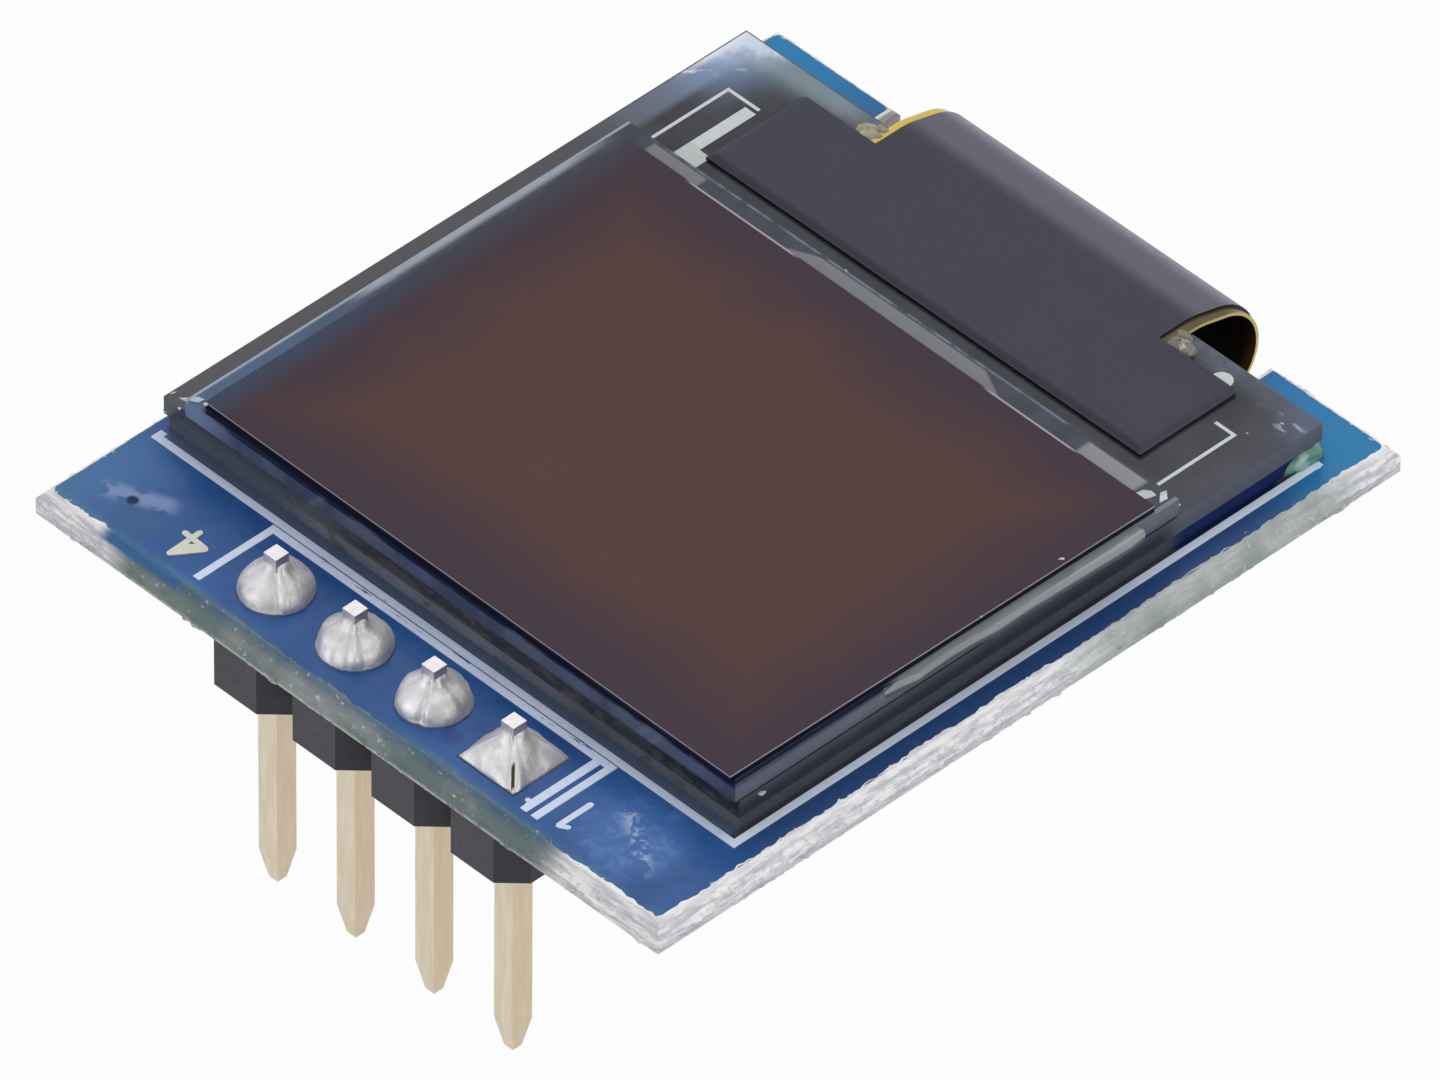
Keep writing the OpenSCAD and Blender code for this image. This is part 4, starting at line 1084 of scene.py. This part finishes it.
# Painted light: brighter yellow on the left, where light shines through the film
amber.coat(cast, "C9961F", "B07E18", (x.ramp(0.0, -4.0) * 0.9, "E9CB52"),
           # Painted shade: darker on the outer face towards the right end, and dark on the inside
           # of the loop
           (outward * x.ramp(3.0, 4.0), "54401A"),
           ((1 - outward) * x.ramp(-4.0, 0.0), "1C1210"),
           ((1 - outward) * x.ramp(4.5, 4.8) * z.ramp(3.0, 1.0) * 0.5, "6A4C14"),
           # Painted highlights on the cut edges
           (right, "C9B558"), (left, "F0DC7A"), Roughness=0.2 + 0.2 * cast)
amber.bump(cast, 0.01).on("flex_film")

satin = Finish("dark_film", Roughness=0.42, Specular_IOR_Level=0.25)
x, y, z = satin.axes
front, right = satin.sides()[1:3]
bend, level = satin.facing()[1:]
sloped = (1 - level) * z.ramp(3.4, 3.44)
weave, stain = satin.cloud(9.0, 4.0), satin.cloud(0.55, 4.0)
satin.coat(weave, "3C3C4A", "343442", (stain.ramp(0.5, 0.68) * 0.35, "2A2F38"),
           # A painted highlight along the upper back of the bend
           (bend.ramp(0.0, 0.35) * z.ramp(1.5, 2.2), "666574"),
           (bend.ramp(0.3, 0.65) * z.ramp(1.5, 2.2), "858494"),
           (sloped.ramp(0.05, 0.3) * y.ramp(19.3, 19.2), "3D3D4A"),
           # Painted shade on the film's upright front and right edges
           (front.most(right) * level.ramp(0.35, 0.15), "20212B"),
           Roughness=0.36 + 0.12 * weave + 0.1 * stain)
satin.bump(weave + 0.6 * satin.cloud(2.0), 0.012).on("flex_cover")

# The tail starts at the shoulder, which is among the line's first points
ON_GLASS = 12
tail = [p for k, p in enumerate(middle_line) if k > ON_GLASS or p[0] >= SHOULDER - 0.2]
tail[0] = (SHOULDER, tail[0][1], 0.0)
base_film = film(tail, 0.0, BASE1 - BASE0, TAIL_WIDTH, amber)
base_head = head_sheet(HEAD0.x + 0.2, HEAD1.x - 0.2, BASE0, BASE1, BOND, SHOULDER, 0.0)
piece("amber_tail", joined(base_film, base_head), amber, "amber_film", "flex_film")
skin = film(tail, (BASE1 - BASE0 + SKIN1 - SKIN0) / 2, SKIN1 - SKIN0, SKIN_WIDTH, satin,
            SKIN_DRIFT)
skin_head = head_sheet(HEAD0.x, HEAD1.x, SKIN0, SKIN1, HEAD0.y, SHOULDER, HEAD_SAG)
piece("dark_tail", joined(skin, skin_head), satin, "dark_film", "flex_cover")

Finish("bond_film", Roughness=0.4).coat(4.0, "8E8468", "6E664F").on("flex_bond")
Finish("clear_resin", Roughness=0.35).coat(3.0, "5B5A58", "454446").on("ledge_resin")


# %% [markdown]
# Drops of resin hold the film's shoulders, and a dab of green glue holds the glass
# at its back corner. A drop is a dome whose foot wanders.

# %% Drops
def drop(middle, across, along, height, foot, seed, flatter=1.0):
    """A dome with a wandering foot; a lower power of flatter gives it steeper sides."""
    points, rows, turns = [], 7, 28
    for j in range(rows):
        lift = j / (rows - 1)
        for n in range(turns):
            angle = 2 * math.pi * n / turns
            spot = Vector((math.cos(angle), math.sin(angle), lift + seed))
            reach = math.cos(lift * math.pi / 2 * 0.96) ** flatter
            reach *= 1 + 0.35 * noise.noise(spot * 1.6) + 0.1 * noise.noise(spot * 5.0)
            points.append((middle[0] + across * reach * math.cos(angle),
                           middle[1] + along * reach * math.sin(angle),
                           foot + height * math.sin(lift * math.pi / 2)
                           * (1 + 0.15 * noise.noise(spot * 3.0)) * (1 if j else 0)))
    return lofted(points, turns, smooth=True)


bead = Finish("bead_resin", Roughness=0.2)
milk = bead.cloud(2.6, 4.0)
bead.coat(milk.ramp(0.35, 0.65), "8F8878", "6F6C68", (milk.ramp(0.6, 0.66) * 0.8, "C9BDA8"),
          (bead.axes[0].ramp(-4.0, -4.6) * 0.5, "B7A98A"))
bead.bump(milk, 0.04).on("shoulder_bead_left", "shoulder_bead_right")
SUNK = GLASS1.z - 0.005
piece("shoulder_drop_left", joined(drop((-4.93, 19.42), 0.36, 0.3, 0.26, SUNK, 1.0),
                                   drop((-4.78, 19.72), 0.2, 0.16, 0.22, SUNK, 4.0)),
      bead, "bead_resin", "shoulder_bead_left")
piece("shoulder_drop_right", joined(drop((5.06, 19.4), 0.42, 0.3, 0.26, SUNK, 2.0),
                                    drop((4.85, 19.72), 0.3, 0.15, 0.2, SUNK, 6.0)),
      bead, "bead_resin", "shoulder_bead_right")

green = Finish("green_glue", Roughness=0.2)
blend = green.cloud(2.5)
green.coat(blend, "4E8A72", "6E9A8E", (blend.ramp(0.55, 0.65) * 0.6, "A9C6C0"))
green.bump(blend, 0.02).on("corner_glue")
piece("glue_dab", drop((8.72, 19.5), 0.42, 0.62, GLASS0.z - TOP - 0.01, TOP, 9.0, 0.5),
      green, "green_glue", "corner_glue")


# %% [markdown]
# ## The underside
# Small parts sit on tinned pads: brown ceramic capacitors with tinned ends, black
# resistors with white bellies, and a regulator in black moulding.

# %% Parts below the board
ceramic = Finish("ceramic_part", Roughness=0.5).coat(6.0, "A98F6C", "8E7758").bump(6.0, 0.01)
ceramic.on(*[f"capacitor_{k}" for k in range(1, 7)])
glaze = Finish("resistor_glaze", Roughness=0.35).coat(5.0, "26262A", "1A1A1D").bump(7.0, 0.006)
glaze.on(*[f"resistor_{k}" for k in range(1, 5)])
print("materials", len(bpy.data.materials))
